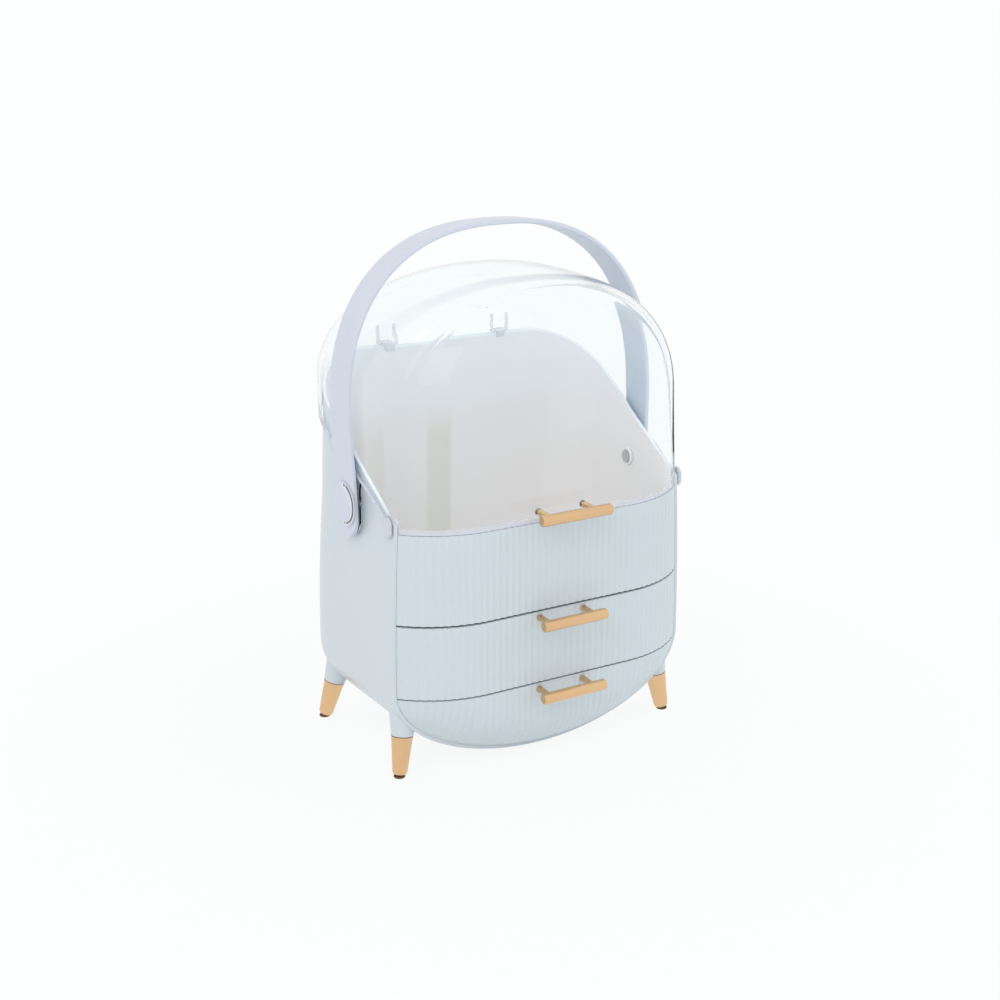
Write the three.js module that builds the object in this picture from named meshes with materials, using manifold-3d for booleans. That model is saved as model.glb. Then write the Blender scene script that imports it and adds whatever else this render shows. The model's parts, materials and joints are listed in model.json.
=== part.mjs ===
// A table-top cosmetics box: a white housing on four splayed legs, two fluted drawers,
// an open top compartment under a clear lid that rolls back, and a carrying strap.
// Millimetres, +Z up, front towards -Y. Depths are measured back from the seam, the upright
// plane where the smooth housing meets the fluted fronts; the last group moves them to the middle.
import * as THREE from "three";
import { mergeVertices } from "three/addons/utils/BufferGeometryUtils.js";
import Module from "manifold-3d";

const wasm = await Module();
wasm.setup();

// Housing, as seen from the front and from above
const housingHalfWidth = 129;
const housingDepth = 155;
const housingWall = 3;
const rearCornerRadius = 52;
const rearPlumbLength = 28;
const bellyHalfWidth = 132.5;
const bellyDepth = 160;
const bellyCornerRadius = 42;
const bellyRearReach = 35;
const bellyGroundGap = 2.5;
const bellyTopHeight = 73;
const bellyRoundShare = 1.975;
const seatFrontHeight = 206;
const seatRise = 100;
const rimDrop = 7.7;

// Fluted fronts, which swell forward from the seam
const frontBow = 27.3;
const frontFlatHalfWidth = 65;
const frontThickness = 2.8;
const bowEndShare = 1.1;
const frontNest = 3;
const ribPitch = 5.65;
const ribDepth = 1;
const ribColumnShares = [0, 0.25, 0.75];
const ribHeightShares = [0, 1, 1];
const ribFadeWidth = 4;

// Heights of the two shelves and of what stands on them
const shelfThickness = 2.4;
const upperLineHeight = 127.3;
const lowerLineHeight = 68.3;
const lineGap = 1;
const ledgeWidth = 4;
const ledgeHeight = 3;

// Clearances
const seamGap = 0.4;
const restGap = 0.3;
const cutOverrun = 5;

// Drawers
const trayWall = 2;
const trayRimDrop = 8.5;
const trayScrewDrop = 5;
const trayFrontGap = 0.6;
const runnerSpacing = 60;
const runnerWidth = 3;
const trayGroundHeight = 12.5;

// Pivots shared by the lid and the strap
const pivotDepth = 64.5;
const pivotDrop = 40.1;
const pinRadius = 5;
const pinClearance = 0.3;
const pinTipLength = 3.4;
const pinFlangeRadius = 11;
const pinFlangeThickness = 1.2;
const pivotRingRadius = 7.6;
const pivotRingThickness = 2.8;
const pivotCapRadius = 18;
const pivotCapThickness = 3.4;
const pivotCapDish = 1.6;

// Clear lid
const lidThickness = 2.2;
const lidSideGap = 1.6;
const lidRearGap = 3;
const lidFlareDepth = 31;
const archFootHalfWidth = 125.3;
const archShoulderHalfWidth = 118.7;
const archShoulderRise = 80;
const archRise = 91.9;
const archRoundShare = 2.17;
const crownRise = 7.8;
const crownDepth = 60;
const crownRoundShare = 3;
const rearShoulderRise = 17;
const skirtOverlapFront = 5;
const skirtRearDrop = 12;
const lugHalfWidth = 23;
const lugDrop = 24;
const lugCornerRadius = 20;
const lugWebFrontDepth = 22;
const lugWebRearDepth = 107;
const cornerTabLength = 11;
const cornerTabHeight = 16;
const cornerTabThickness = 2.8;
const cornerTabReach = 8;

// Carrying strap
const strapWidth = 30.5;
const strapThickness = 4.2;
const strapEndDrop = 26;
const strapFootHalfWidth = 137.4;
const strapHalfWidth = 139.4;
const strapShoulderDrop = 9.3;
const strapHeadroom = 34.9;
const strapRoundShare = 2.4;
const strapEdgeRounding = 1;
const strapLean = 3;

// Bar pulls and their screws
const pullRadius = 4.7;
const pullStandOff = 14.8;
const drawerPullLength = 60;
const lidPullLength = 63;
const pullPostRadius = 3;
const pullPostSpacing = 40;
const pullEndRounding = 1.6;
const pullTopGap = 4.6;
const lidPullRise = 7.7;
const screwRadius = 1.4;
const screwClearance = 0.3;
const screwHeadRadius = 3;
const screwHeadHeight = 1.8;
const screwHeadCrownRadius = 1.8;
const screwHeadEdgeHeight = 1.1;
const screwBite = 7;
const screwTipGap = 1;
const trayScrewBite = 1.6;
const panelScrewBite = 6;
const bossRadius = 4.5;
const bossSink = 1;
const bossLength = 9;
const pilotDepth = 7.2;

// Legs
const legTipHalfSpacing = 125;
const legTipFrontDepth = 7;
const legTipRearDepth = 140;
const legFrontSideAngle = 8.5;
const legFrontEndAngle = 6.5;
const legRearSideAngle = 13.5;
const legRearEndAngle = 8;
const legCapLength = 33;
const legCapTopRadius = 8.8;
const legCapFootRadius = 5.9;
const legStubRootRadius = 15;
const legStubLength = 44;
const legStubCrownLength = 22;
const legStubWaistRadius = 10.5;
const legStubWaistRise = 15.4;
const legCapFootRounding = 2.9;
const legJointGap = 0.5;
const spigotRadius = 5;
const spigotLength = 12;
const footPadRadius = 5.2;
const footPadHeight = 1.8;
const footPadRounding = 0.6;

// Clear holder clips on the rear edge
const clipSpacing = 106;
const clipPostSpacing = 14.5;
const clipPostWidth = 2;
const clipPostHeight = 13;
const clipDepth = 2.4;
const clipBaseHeight = 2.2;
const clipTongueLength = 5;

// How finely round forms are cut
const bellySteps = 14;
const sideSteps = 6;
const cornerSteps = 8;
const archSteps = 26;
const strapSteps = 36;
const frontSteps = 10;
const latheSteps = 28;
const smallLatheSteps = 12;
const smallRadius = 4;

// Values worked out from the sizes above
const rimHeight = seatFrontHeight - rimDrop;
const seatRearHeight = seatFrontHeight + seatRise;
const seatSlope = seatRise / housingDepth;
const rearPlumbHeight = seatRearHeight - rearPlumbLength;
const pivotHeight = seatFrontHeight + seatSlope * pivotDepth - pivotDrop;
const archShoulderHeight = rimHeight + archShoulderRise;
const archTopHeight = archShoulderHeight + archRise;
const crownHeight = archTopHeight + crownRise;
const lidRearShoulderHeight = archShoulderHeight + rearShoulderRise;
const strapShoulderHeight = archShoulderHeight - strapShoulderDrop;
const strapTopHeight = crownHeight + strapHeadroom;
const lidPullHeight = rimHeight + lidPullRise;
const bellyHeight = bellyTopHeight - bellyGroundGap;
const bowRadius =
  ((housingHalfWidth - frontFlatHalfWidth) ** 2 + frontBow ** 2) / (2 * frontBow);
const lidSideHalfWidth = housingHalfWidth + lidSideGap + lidThickness;
const lidRearDepth = housingDepth + lidRearGap + lidThickness;
const pullCentreDepth = -(frontBow + pullStandOff + pullRadius);
const middleDepth = (Math.max(lidRearDepth, bellyDepth) + pullCentreDepth - pullRadius) / 2;
const frontInset = housingWall + restGap;
const trayInset = frontInset + frontThickness + trayFrontGap;
const trayBowInset = frontThickness + trayFrontGap;
const shelfFrontDepth = frontNest + seamGap;
const farReach = 2 * (bellyDepth + housingHalfWidth);
const floorTopHeight = upperLineHeight + lineGap / 2 + shelfThickness;
const midShelfTopHeight = lowerLineHeight + lineGap / 2;

// Materials
const housingWhite = () =>
  new THREE.MeshStandardMaterial({ color: 0xdde4ea, roughness: 0.32, metalness: 0 });
const frontWhite = () =>
  new THREE.MeshStandardMaterial({ color: 0xd6e1e8, roughness: 0.36, metalness: 0 });
const innerWhite = () =>
  new THREE.MeshStandardMaterial({ color: 0xe0dcdc, roughness: 0.45, metalness: 0 });
const strapWhite = () =>
  new THREE.MeshStandardMaterial({ color: 0xd6d8e6, roughness: 0.4, metalness: 0 });
const softGold = () =>
  new THREE.MeshStandardMaterial({ color: 0xf0c38c, roughness: 0.34, metalness: 0.85 });
const steel = () =>
  new THREE.MeshStandardMaterial({ color: 0xb9bcc0, roughness: 0.35, metalness: 0.95 });
const rubber = () =>
  new THREE.MeshStandardMaterial({ color: 0x6b4a2c, roughness: 0.8, metalness: 0 });
const clear = () =>
  new THREE.MeshStandardMaterial({
    color: 0xe4f2f6,
    roughness: 0.06,
    metalness: 0,
    transparent: true,
    opacity: 0.28,
  });

// Turns a closed three.js geometry into a solid.
function solid(geometry) {
  const bare = new THREE.BufferGeometry();
  bare.setAttribute("position", geometry.getAttribute("position").clone());
  if (geometry.index) bare.setIndex(geometry.index.clone());
  const merged = mergeVertices(bare);
  return new wasm.Manifold(
    new wasm.Mesh({
      numProp: 3,
      vertProperties: merged.getAttribute("position").array,
      triVerts: new Uint32Array(merged.index.array),
    }),
  );
}

// Turns a solid back into a named mesh.
function meshOf(name, body, material) {
  const made = body.getMesh();
  const geometry = new THREE.BufferGeometry();
  geometry.setAttribute("position", new THREE.BufferAttribute(made.vertProperties, 3));
  geometry.setIndex(new THREE.BufferAttribute(made.triVerts, 1));
  const flat = geometry.toNonIndexed();
  flat.computeVertexNormals();
  const mesh = new THREE.Mesh(flat, material);
  mesh.name = name;
  return mesh;
}

const join = (...bodies) => bodies.reduce((all, one) => all.add(one));
const cut = (body, ...tools) => tools.reduce((left, tool) => left.subtract(tool), body);

// Extrudes a shape drawn in two of the part's axes along the third.
function extruded(shape, length, options = {}) {
  return new THREE.ExtrudeGeometry(shape, {
    depth: length,
    bevelEnabled: false,
    steps: 1,
    curveSegments: cornerSteps,
    ...options,
  });
}

// The shape is drawn in X and Y.
function alongZ(shape, from, to) {
  return solid(extruded(shape, to - from).translate(0, 0, from));
}

// The shape is drawn in X and Z.
function alongY(shape, from, to, options = {}) {
  const turn = new THREE.Matrix4().makeBasis(
    new THREE.Vector3(1, 0, 0),
    new THREE.Vector3(0, 0, 1),
    new THREE.Vector3(0, -1, 0),
  );
  return solid(extruded(shape, to - from, options).applyMatrix4(turn).translate(0, to, 0));
}

// The shape is drawn in Y and Z.
function alongX(shape, from, to) {
  const turn = new THREE.Matrix4().makeBasis(
    new THREE.Vector3(0, 1, 0),
    new THREE.Vector3(0, 0, 1),
    new THREE.Vector3(1, 0, 0),
  );
  return solid(extruded(shape, to - from).applyMatrix4(turn).translate(from, 0, 0));
}

function shapeOf(points) {
  return new THREE.Shape(points.map(([u, v]) => new THREE.Vector2(u, v)));
}

function box(xFrom, xTo, yFrom, yTo, zFrom, zTo) {
  const geometry = new THREE.BoxGeometry(xTo - xFrom, yTo - yFrom, zTo - zFrom);
  geometry.translate((xFrom + xTo) / 2, (yFrom + yTo) / 2, (zFrom + zTo) / 2);
  return solid(geometry);
}

// A body of revolution about Z from [radius, height] pairs that start and end on the axis.
function turned(profile) {
  const points = profile.map(([radius, height]) => new THREE.Vector2(radius, height));
  const small = Math.max(...profile.map(([radius]) => radius)) < smallRadius;
  const segments = small ? smallLatheSteps : latheSteps;
  return new THREE.LatheGeometry(points, segments).rotateX(Math.PI / 2);
}

// The same body about X or Y, its height running along that axis.
const turnedAlongX = (profile) => turned(profile).rotateY(Math.PI / 2);
const turnedAlongY = (profile) => turned(profile).rotateX(-Math.PI / 2);

// A cylinder's profile.
const rod = (radius, from, to) => [
  [0, from],
  [radius, from],
  [radius, to],
  [0, to],
];

// Points of a half arch from +1 over the top to -1, squarer than a circle above a share of 2.
function archPoints(roundShare, count) {
  return steps(0, 1, count).map((share) => {
    const across = Math.cos(Math.PI * share);
    const up = Math.max(0, Math.sin(Math.PI * share));
    const power = 2 / roundShare;
    return [Math.sign(across) * Math.abs(across) ** power, up ** power];
  });
}

// Height of the slanted edge on which the lid sits, at a depth behind the seam.
const seatHeight = (depth) => seatFrontHeight + seatSlope * depth;

// How far a height is up from the belly to a top, rising ever faster from 0 to 1.
function swellShare(height, top) {
  const climb = (height - bellyTopHeight) / (top - bellyTopHeight);
  return Math.min(1, Math.max(0, climb)) ** 2;
}

// Half width, rear depth and rear corner radius of the body at a height, drawn inwards.
function planAt(height, inset) {
  const below = Math.max(0, bellyTopHeight - height) / (bellyHeight - inset);
  const round = Math.max(0, 1 - below ** bellyRoundShare) ** (1 / bellyRoundShare);
  const sideRise = swellShare(height, rimHeight);
  const rearRise = swellShare(height, rearPlumbHeight);
  const side = bellyHalfWidth + (housingHalfWidth - bellyHalfWidth) * sideRise - inset;
  const rear = bellyDepth + (housingDepth - bellyDepth) * rearRise - inset;
  const corner = bellyCornerRadius + (rearCornerRadius - bellyCornerRadius) * rearRise - inset;
  return {
    halfWidth: side * round,
    rear: rear - bellyRearReach * (1 - round),
    radius: corner * round,
  };
}

// Heights at which the body is drawn, from just above its lowest line to over its top.
function bodyLevels(inset) {
  const belly = steps(0.5, bellySteps, bellySteps).map((step) => {
    const share = Math.cos((Math.PI / 2) * (step / bellySteps)) ** (2 / bellyRoundShare);
    return bellyTopHeight - (bellyHeight - inset) * Math.max(0, share);
  });
  return [...belly, ...steps(bellyTopHeight, rearPlumbHeight, sideSteps).slice(1), crownHeight];
}

// Front view of the body, drawn inwards by an inset.
function bellyOutline(inset) {
  const right = bodyLevels(inset).map((height) => [planAt(height, inset).halfWidth, height]);
  const left = right.map(([across, height]) => [-across, height]).reverse();
  return shapeOf([...right, ...left]);
}

// The whole body behind a plane at a depth, drawn inwards by an inset.
function bodyBlock(inset, front) {
  const rings = bodyLevels(inset).map((height) => {
    const { halfWidth, rear, radius } = planAt(height, inset);
    const corner = steps(0, Math.PI / 2, cornerSteps).map((angle) => [
      halfWidth - radius + radius * Math.cos(angle),
      rear - radius + radius * Math.sin(angle),
      height,
    ]);
    const mirrored = corner.map(([across, depth]) => [-across, depth, height]).reverse();
    const ring = [[-halfWidth, front, height], [halfWidth, front, height], ...corner, ...mirrored];
    return ring.reverse();
  });
  return loft(rings);
}

// Everything between two heights.
const slab = (low, high) => box(-farReach, farReach, -farReach, farReach, low, high);

// How far the fronts stand forward of the seam, for a distance from the middle given as a
// part of the distance to the outline: level in the middle, then an arc down through the seam.
function bowAt(share) {
  const past = Math.min(share, bowEndShare) * housingHalfWidth - frontFlatHalfWidth;
  if (past <= 0) return frontBow;
  return frontBow - bowRadius + Math.sqrt(bowRadius ** 2 - past ** 2);
}

// Distance from the middle of the fronts, as a part of the distance to the belly's outline.
function bellyShare(across, height, inset) {
  const side = Math.abs(across) / planAt(Math.max(height, bellyTopHeight), inset).halfWidth;
  const below = Math.max(0, bellyTopHeight - height) / (bellyHeight - inset);
  return (side ** bellyRoundShare + below ** bellyRoundShare) ** (1 / bellyRoundShare);
}

// Half width of the lid's front arch at a height.
function archHalfWidth(height) {
  const rise = (height - rimHeight) / (archShoulderHeight - rimHeight);
  return archFootHalfWidth + (archShoulderHalfWidth - archFootHalfWidth) * rise;
}

// A block whose front is the surface depthAt(across, height) and whose back is flat.
function swollenBlock(columns, levels, depthAt, back) {
  const positions = [];
  const index = [];
  const wide = columns.length;
  const high = levels.length;
  for (const flat of [false, true])
    for (const height of levels)
      for (const across of columns)
        positions.push(across, flat ? back : depthAt(across, height), height);
  const at = (column, level, side) => side * wide * high + level * wide + column;
  const quad = (a, b, c, d) => index.push(a, b, c, a, c, d);
  for (let level = 0; level + 1 < high; level++)
    for (let column = 0; column + 1 < wide; column++) {
      const [a, b] = [at(column, level, 0), at(column + 1, level, 0)];
      const [c, d] = [at(column + 1, level + 1, 0), at(column, level + 1, 0)];
      quad(a, b, c, d);
      const behind = wide * high;
      quad(d + behind, c + behind, b + behind, a + behind);
    }
  for (let column = 0; column + 1 < wide; column++) {
    quad(at(column, 0, 1), at(column + 1, 0, 1), at(column + 1, 0, 0), at(column, 0, 0));
    const top = high - 1;
    quad(at(column, top, 0), at(column + 1, top, 0), at(column + 1, top, 1), at(column, top, 1));
  }
  for (let level = 0; level + 1 < high; level++) {
    quad(at(0, level, 1), at(0, level, 0), at(0, level + 1, 0), at(0, level + 1, 1));
    const end = wide - 1;
    quad(at(end, level, 0), at(end, level, 1), at(end, level + 1, 1), at(end, level + 1, 0));
  }
  const geometry = new THREE.BufferGeometry();
  geometry.setAttribute("position", new THREE.Float32BufferAttribute(positions, 3));
  geometry.setIndex(index);
  return solid(geometry);
}

// Even steps between two values.
const steps = (from, to, count) =>
  Array.from({ length: count + 1 }, (_, step) => from + ((to - from) * step) / count);

// Columns for a smooth front, closer together where it curves.
function smoothColumns(halfWidth) {
  const level = steps(0, frontFlatHalfWidth, cornerSteps / 2).slice(1, -1);
  const half = [...level, ...steps(frontFlatHalfWidth, halfWidth, cornerSteps)];
  return [...half.map((across) => -across).reverse(), 0, ...half];
}

// Columns and heights of the flutes, as [across, height] pairs from edge to edge.
function ribColumns(halfWidth) {
  const count = Math.floor((2 * halfWidth) / ribPitch);
  const start = (-count * ribPitch) / 2;
  const columns = [[-halfWidth, 0]];
  for (let rib = 0; rib < count; rib++)
    ribColumnShares.forEach((share, corner) => {
      const across = start + (rib + share) * ribPitch;
      const fade = Math.min(1, Math.max(0, halfWidth - Math.abs(across)) / ribFadeWidth);
      if (Math.abs(across) < halfWidth) columns.push([across, ribHeightShares[corner] * fade]);
    });
  columns.push([-start, 0], [halfWidth, 0]);
  return columns.filter(([across], at) => at === 0 || across > columns[at - 1][0]);
}

// Levels for a front between two heights: few above the belly, more where it rounds off.
function frontLevels(low, high) {
  const above = steps(Math.max(low, bellyTopHeight), Math.max(high, bellyTopHeight), 2);
  if (low >= bellyTopHeight) return above;
  const top = Math.min(high, bellyTopHeight);
  const angleAt = (height) => Math.asin(Math.min(1, (bellyTopHeight - height) / bellyHeight));
  const count = Math.ceil(((angleAt(low) - angleAt(top)) / (Math.PI / 2)) * frontSteps);
  const levels = steps(angleAt(low), angleAt(top), count).map(
    (angle) => bellyTopHeight - bellyHeight * Math.sin(angle),
  );
  levels[0] = low;
  levels[count] = top;
  return high > top ? [...levels, ...above.slice(1)] : levels;
}

// The space inside the swollen fronts, between two heights, back to a flat: drawn in from
// the outline by one inset and back from the swollen surface by another.
function frontCore(inset, bowInset, low, high, back) {
  const surface = (across, height) => bowInset - bowAt(bellyShare(across, height, inset));
  const columns = smoothColumns(bellyHalfWidth - inset);
  const block = swollenBlock(columns, frontLevels(low, high), surface, back);
  return block.intersect(alongY(bellyOutline(inset), -2 * frontBow, back));
}

// A fluted front between two heights, hollow behind, which nests in the housing's mouth.
function flutedFront(low, high) {
  const ribs = ribColumns(bellyHalfWidth - frontInset);
  const ribAt = new Map(ribs);
  const surface = (across, height) => {
    const share = bellyShare(across, height, frontInset);
    const calm = Math.min(1, ((1 - Math.min(share, 1)) * housingHalfWidth) / ribFadeWidth);
    return -bowAt(share) - ribDepth * ribAt.get(across) * calm;
  };
  const columns = ribs.map(([across]) => across);
  const outline = alongY(bellyOutline(frontInset), -2 * frontBow, frontNest);
  const levels = frontLevels(low, high);
  const outer = swollenBlock(columns, levels, surface, frontBow).intersect(outline);
  const hollowInset = frontInset + frontThickness;
  const [under, over] = [low - cutOverrun, high + cutOverrun];
  return cut(outer, frontCore(hollowInset, frontThickness, under, over, frontNest + cutOverrun));
}

// Housing
function housing() {
  const top = crownHeight + cutOverrun;
  const inner = bodyBlock(housingWall, -cutOverrun);
  const seat = alongX(
    shapeOf([
      [-cutOverrun, seatHeight(-cutOverrun)],
      [farReach, seatHeight(farReach)],
      [farReach, Math.max(seatHeight(farReach), top) + cutOverrun],
      [-cutOverrun, top + cutOverrun],
    ]),
    -farReach,
    farReach,
  );
  const stubs = legPlaces().map((place) => legStub(place));
  const shell = cut(join(bodyBlock(0, 0), ...stubs), inner, seat);
  const bores = sides().map((side) => pinBore(side));
  return meshOf("housing", cut(join(shell, ...housingLedges()), ...bores), housingWhite());
}

// Rails inside the housing: two under each shelf and two runners under the lower drawer.
function housingLedges() {
  const rails = [];
  for (const under of [midShelfTopHeight - shelfThickness, floorTopHeight - shelfThickness]) {
    const top = under - restGap;
    const { halfWidth, rear, radius } = planAt(top - ledgeHeight, housingWall);
    for (const side of sides()) {
      const ends = [side * (halfWidth - ledgeWidth), side * (halfWidth + housingWall)];
      const [from, to] = ends.sort((a, b) => a - b);
      rails.push(box(from, to, shelfFrontDepth, rear - radius, top - ledgeHeight, top));
    }
  }
  for (const side of sides()) {
    const middle = (side * runnerSpacing) / 2;
    const top = trayGroundHeight - restGap;
    const [from, to] = [middle - runnerWidth / 2, middle + runnerWidth / 2];
    rails.push(box(from, to, shelfFrontDepth, bellyDepth, 0, top));
  }
  const room = bodyBlock(housingWall / 2, shelfFrontDepth);
  return rails.map((rail) => rail.intersect(room));
}

const sides = () => [-1, 1];

function pinBore(side) {
  const from = housingHalfWidth - 2 * housingWall;
  const bore = turnedAlongX(rod(pinRadius + pinClearance, from, strapHalfWidth + cutOverrun));
  if (side < 0) bore.rotateZ(Math.PI);
  return solid(bore.translate(0, pivotDepth, pivotHeight));
}

// Upper front panel, fixed to the compartment floor by three screws from below
const panelScrewPlaces = () =>
  [-1, 0, 1].map((step) => [
    step * frontFlatHalfWidth,
    frontThickness + bossRadius - bossSink - frontBow,
  ]);

function frontPanel() {
  const low = upperLineHeight + lineGap / 2;
  let panel = flutedFront(low, rimHeight);
  for (const [across, depth] of panelScrewPlaces()) {
    const foot = floorTopHeight + restGap;
    const boss = turned(rod(bossRadius, foot, foot + bossLength));
    const pilot = turned(rod(screwRadius + screwClearance, foot - cutOverrun, foot + pilotDepth));
    panel = panel.add(solid(boss.translate(across, depth, 0)));
    panel = panel.subtract(solid(pilot.translate(across, depth, 0)));
  }
  return meshOf("front_panel", panel, frontWhite());
}

function compartmentFloor() {
  const low = floorTopHeight - shelfThickness;
  const front = frontCore(trayInset, trayBowInset, low, floorTopHeight, 2 * shelfFrontDepth);
  const rest = bodyBlock(frontInset, shelfFrontDepth).intersect(slab(low, floorTopHeight));
  let floor = join(front, rest);
  for (const [across, depth] of panelScrewPlaces()) {
    const hole = turned(rod(screwRadius + screwClearance, low - cutOverrun, low + 2 * cutOverrun));
    floor = floor.subtract(solid(hole.translate(across, depth, 0)));
  }
  return meshOf("compartment_floor", floor, innerWhite());
}

function middleShelf() {
  const low = midShelfTopHeight - shelfThickness;
  const shelf = bodyBlock(frontInset, shelfFrontDepth).intersect(slab(low, midShelfTopHeight));
  return meshOf("middle_shelf", shelf, innerWhite());
}

// Drawers
const drawers = () => [
  {
    name: "upper_drawer",
    low: lowerLineHeight + lineGap / 2,
    high: upperLineHeight - lineGap / 2,
    trayLow: midShelfTopHeight + restGap,
  },
  {
    name: "lower_drawer",
    low: bellyGroundGap,
    high: lowerLineHeight - lineGap / 2,
    trayLow: trayGroundHeight,
  },
];

function drawerTray({ name, high, trayLow }) {
  const rim = high - trayRimDrop;
  const form = (extra, low, top) =>
    frontCore(trayInset + extra, trayBowInset + extra, low, top, farReach).intersect(
      bodyBlock(trayInset + extra, -2 * frontBow),
    );
  let tray = cut(form(0, trayLow, rim), form(trayWall, trayLow + trayWall, rim + cutOverrun));
  const seat = trayBowInset + trayWall - frontBow;
  for (const [across, height] of trayScrewPlaces({ high })) {
    const face = turnedAlongY(rod(screwHeadRadius + restGap, seat, seat + cutOverrun));
    const tools = [frontHole([across, height]), solid(face.translate(across, 0, height))];
    tray = cut(tray, ...tools);
  }
  return meshOf(name + "_tray", tray, innerWhite());
}

// Screws that hold the tray to its front: [across, height] in the middle of the tray's wall.
function trayScrewPlaces({ high }) {
  const height = high - trayRimDrop - trayScrewDrop;
  return sides().map((side) => [(side * pullPostSpacing) / 2, height]);
}

// Screws that hold the bar pull to the front.
function pullScrewPlaces({ high }) {
  return sides().map((side) => [(side * pullPostSpacing) / 2, high - pullTopGap]);
}

// A screw hole through the level middle of a front, along Y.
function frontHole([across, height]) {
  const hole = turnedAlongY(rod(screwRadius + screwClearance, -frontBow - cutOverrun, cutOverrun));
  return solid(hole.translate(across, 0, height));
}

function drawerFront({ name, low, high }) {
  let front = flutedFront(low, high);
  for (const [across, height] of trayScrewPlaces({ high })) {
    const tip = frontThickness - trayScrewBite - screwClearance - frontBow;
    const pilot = turnedAlongY(rod(screwRadius + screwClearance, tip, cutOverrun));
    front = front.subtract(solid(pilot.translate(across, 0, height)));
  }
  for (const place of pullScrewPlaces({ high })) front = front.subtract(frontHole(place));
  return meshOf(name + "_front", front, frontWhite());
}

// A round bar on two posts, drawn about its own middle with the posts reaching back along Y.
function barPull(name, length, reach) {
  const half = length / 2;
  const bar = solid(
    turnedAlongX([
      [0, -half],
      [pullRadius - pullEndRounding, -half],
      [pullRadius, pullEndRounding - half],
      [pullRadius, half - pullEndRounding],
      [pullRadius - pullEndRounding, half],
      [0, half],
    ]),
  );
  let pull = bar;
  for (const side of sides()) {
    const across = (side * pullPostSpacing) / 2;
    pull = pull.add(solid(turnedAlongY(rod(pullPostRadius, 0, reach)).translate(across, 0, 0)));
    const deep = reach - screwBite - screwTipGap;
    const pilot = turnedAlongY(rod(screwRadius + screwClearance, deep, reach + cutOverrun));
    pull = pull.subtract(solid(pilot.translate(across, 0, 0)));
  }
  return meshOf(name, pull, softGold());
}

// A pan-head screw along -Y with its seat at the origin.
function screw(name, length) {
  const profile = [
    [0, -length],
    [screwRadius, -length],
    [screwRadius, 0],
    [screwHeadRadius, 0],
    [screwHeadRadius, screwHeadEdgeHeight],
    [screwHeadCrownRadius, screwHeadHeight],
    [0, screwHeadHeight],
  ];
  return meshOf(name, solid(turnedAlongY(profile)), steel());
}

function drawerGroup(drawer) {
  const group = new THREE.Group();
  group.add(drawerTray(drawer), drawerFront(drawer));
  const postReach = pullRadius + pullStandOff - ribDepth - restGap;
  const pull = barPull(drawer.name + "_pull", drawerPullLength, postReach);
  pull.position.set(0, pullCentreDepth, drawer.high - pullTopGap);
  group.add(pull);
  pullScrewPlaces(drawer).forEach(([across, height], at) => {
    const made = screw(drawer.name + "_pull_screw_" + (at + 1), frontThickness + screwBite);
    made.position.set(across, frontThickness - frontBow + restGap, height);
    group.add(made);
  });
  trayScrewPlaces(drawer).forEach(([across, height], at) => {
    const seat = trayBowInset + trayWall;
    const length = trayWall + trayFrontGap + restGap + trayScrewBite;
    const made = screw(drawer.name + "_tray_screw_" + (at + 1), length);
    made.position.set(across, seat - frontBow + restGap, height);
    group.add(made);
  });
  return group;
}

// Lid
// Half width of the lid's outside at a depth behind the seam and a height.
function lidHalfWidth(depth, height, inset) {
  const rearRadius = rearCornerRadius + lidSideGap + lidThickness;
  const cornerDepth = lidRearDepth - rearRadius;
  let halfWidth = lidSideHalfWidth;
  if (depth < lidFlareDepth) {
    const share = 1 - depth / lidFlareDepth;
    const flare = Math.sqrt(1 - share ** 2);
    const arch = archHalfWidth(Math.min(height, archTopHeight));
    halfWidth = arch + (lidSideHalfWidth - arch) * flare;
  } else if (depth > cornerDepth) {
    const reach = rearRadius - inset;
    const past = Math.min(depth - cornerDepth, reach);
    return lidSideHalfWidth - rearRadius + Math.sqrt(reach ** 2 - past ** 2);
  }
  return halfWidth - inset;
}

// Height of the lid's ridge at a depth behind the seam.
function lidRidge(depth, inset) {
  if (depth <= crownDepth) {
    const share = 1 - depth / crownDepth;
    const rise = Math.sqrt(1 - share ** 2);
    return archTopHeight + (crownHeight - archTopHeight) * rise - inset;
  }
  const share = Math.min(1, (depth - crownDepth) / (lidRearDepth - inset - crownDepth));
  const fall = (1 - share ** crownRoundShare) ** (1 / crownRoundShare);
  const rise = crownHeight - inset - lidRearShoulderHeight;
  return lidRearShoulderHeight + rise * fall;
}

// One arch of the lid at a depth, from its foot on the right over the top to the left.
function lidRing(depth, shoulder, top, foot, halfWidthAt) {
  const ring = archPoints(archRoundShare, archSteps).map(([across, up]) => {
    const height = shoulder + (top - shoulder) * up;
    return [across * halfWidthAt(height), depth, height];
  });
  return [...ring, [-halfWidthAt(foot), depth, foot], [halfWidthAt(foot), depth, foot]];
}

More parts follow.
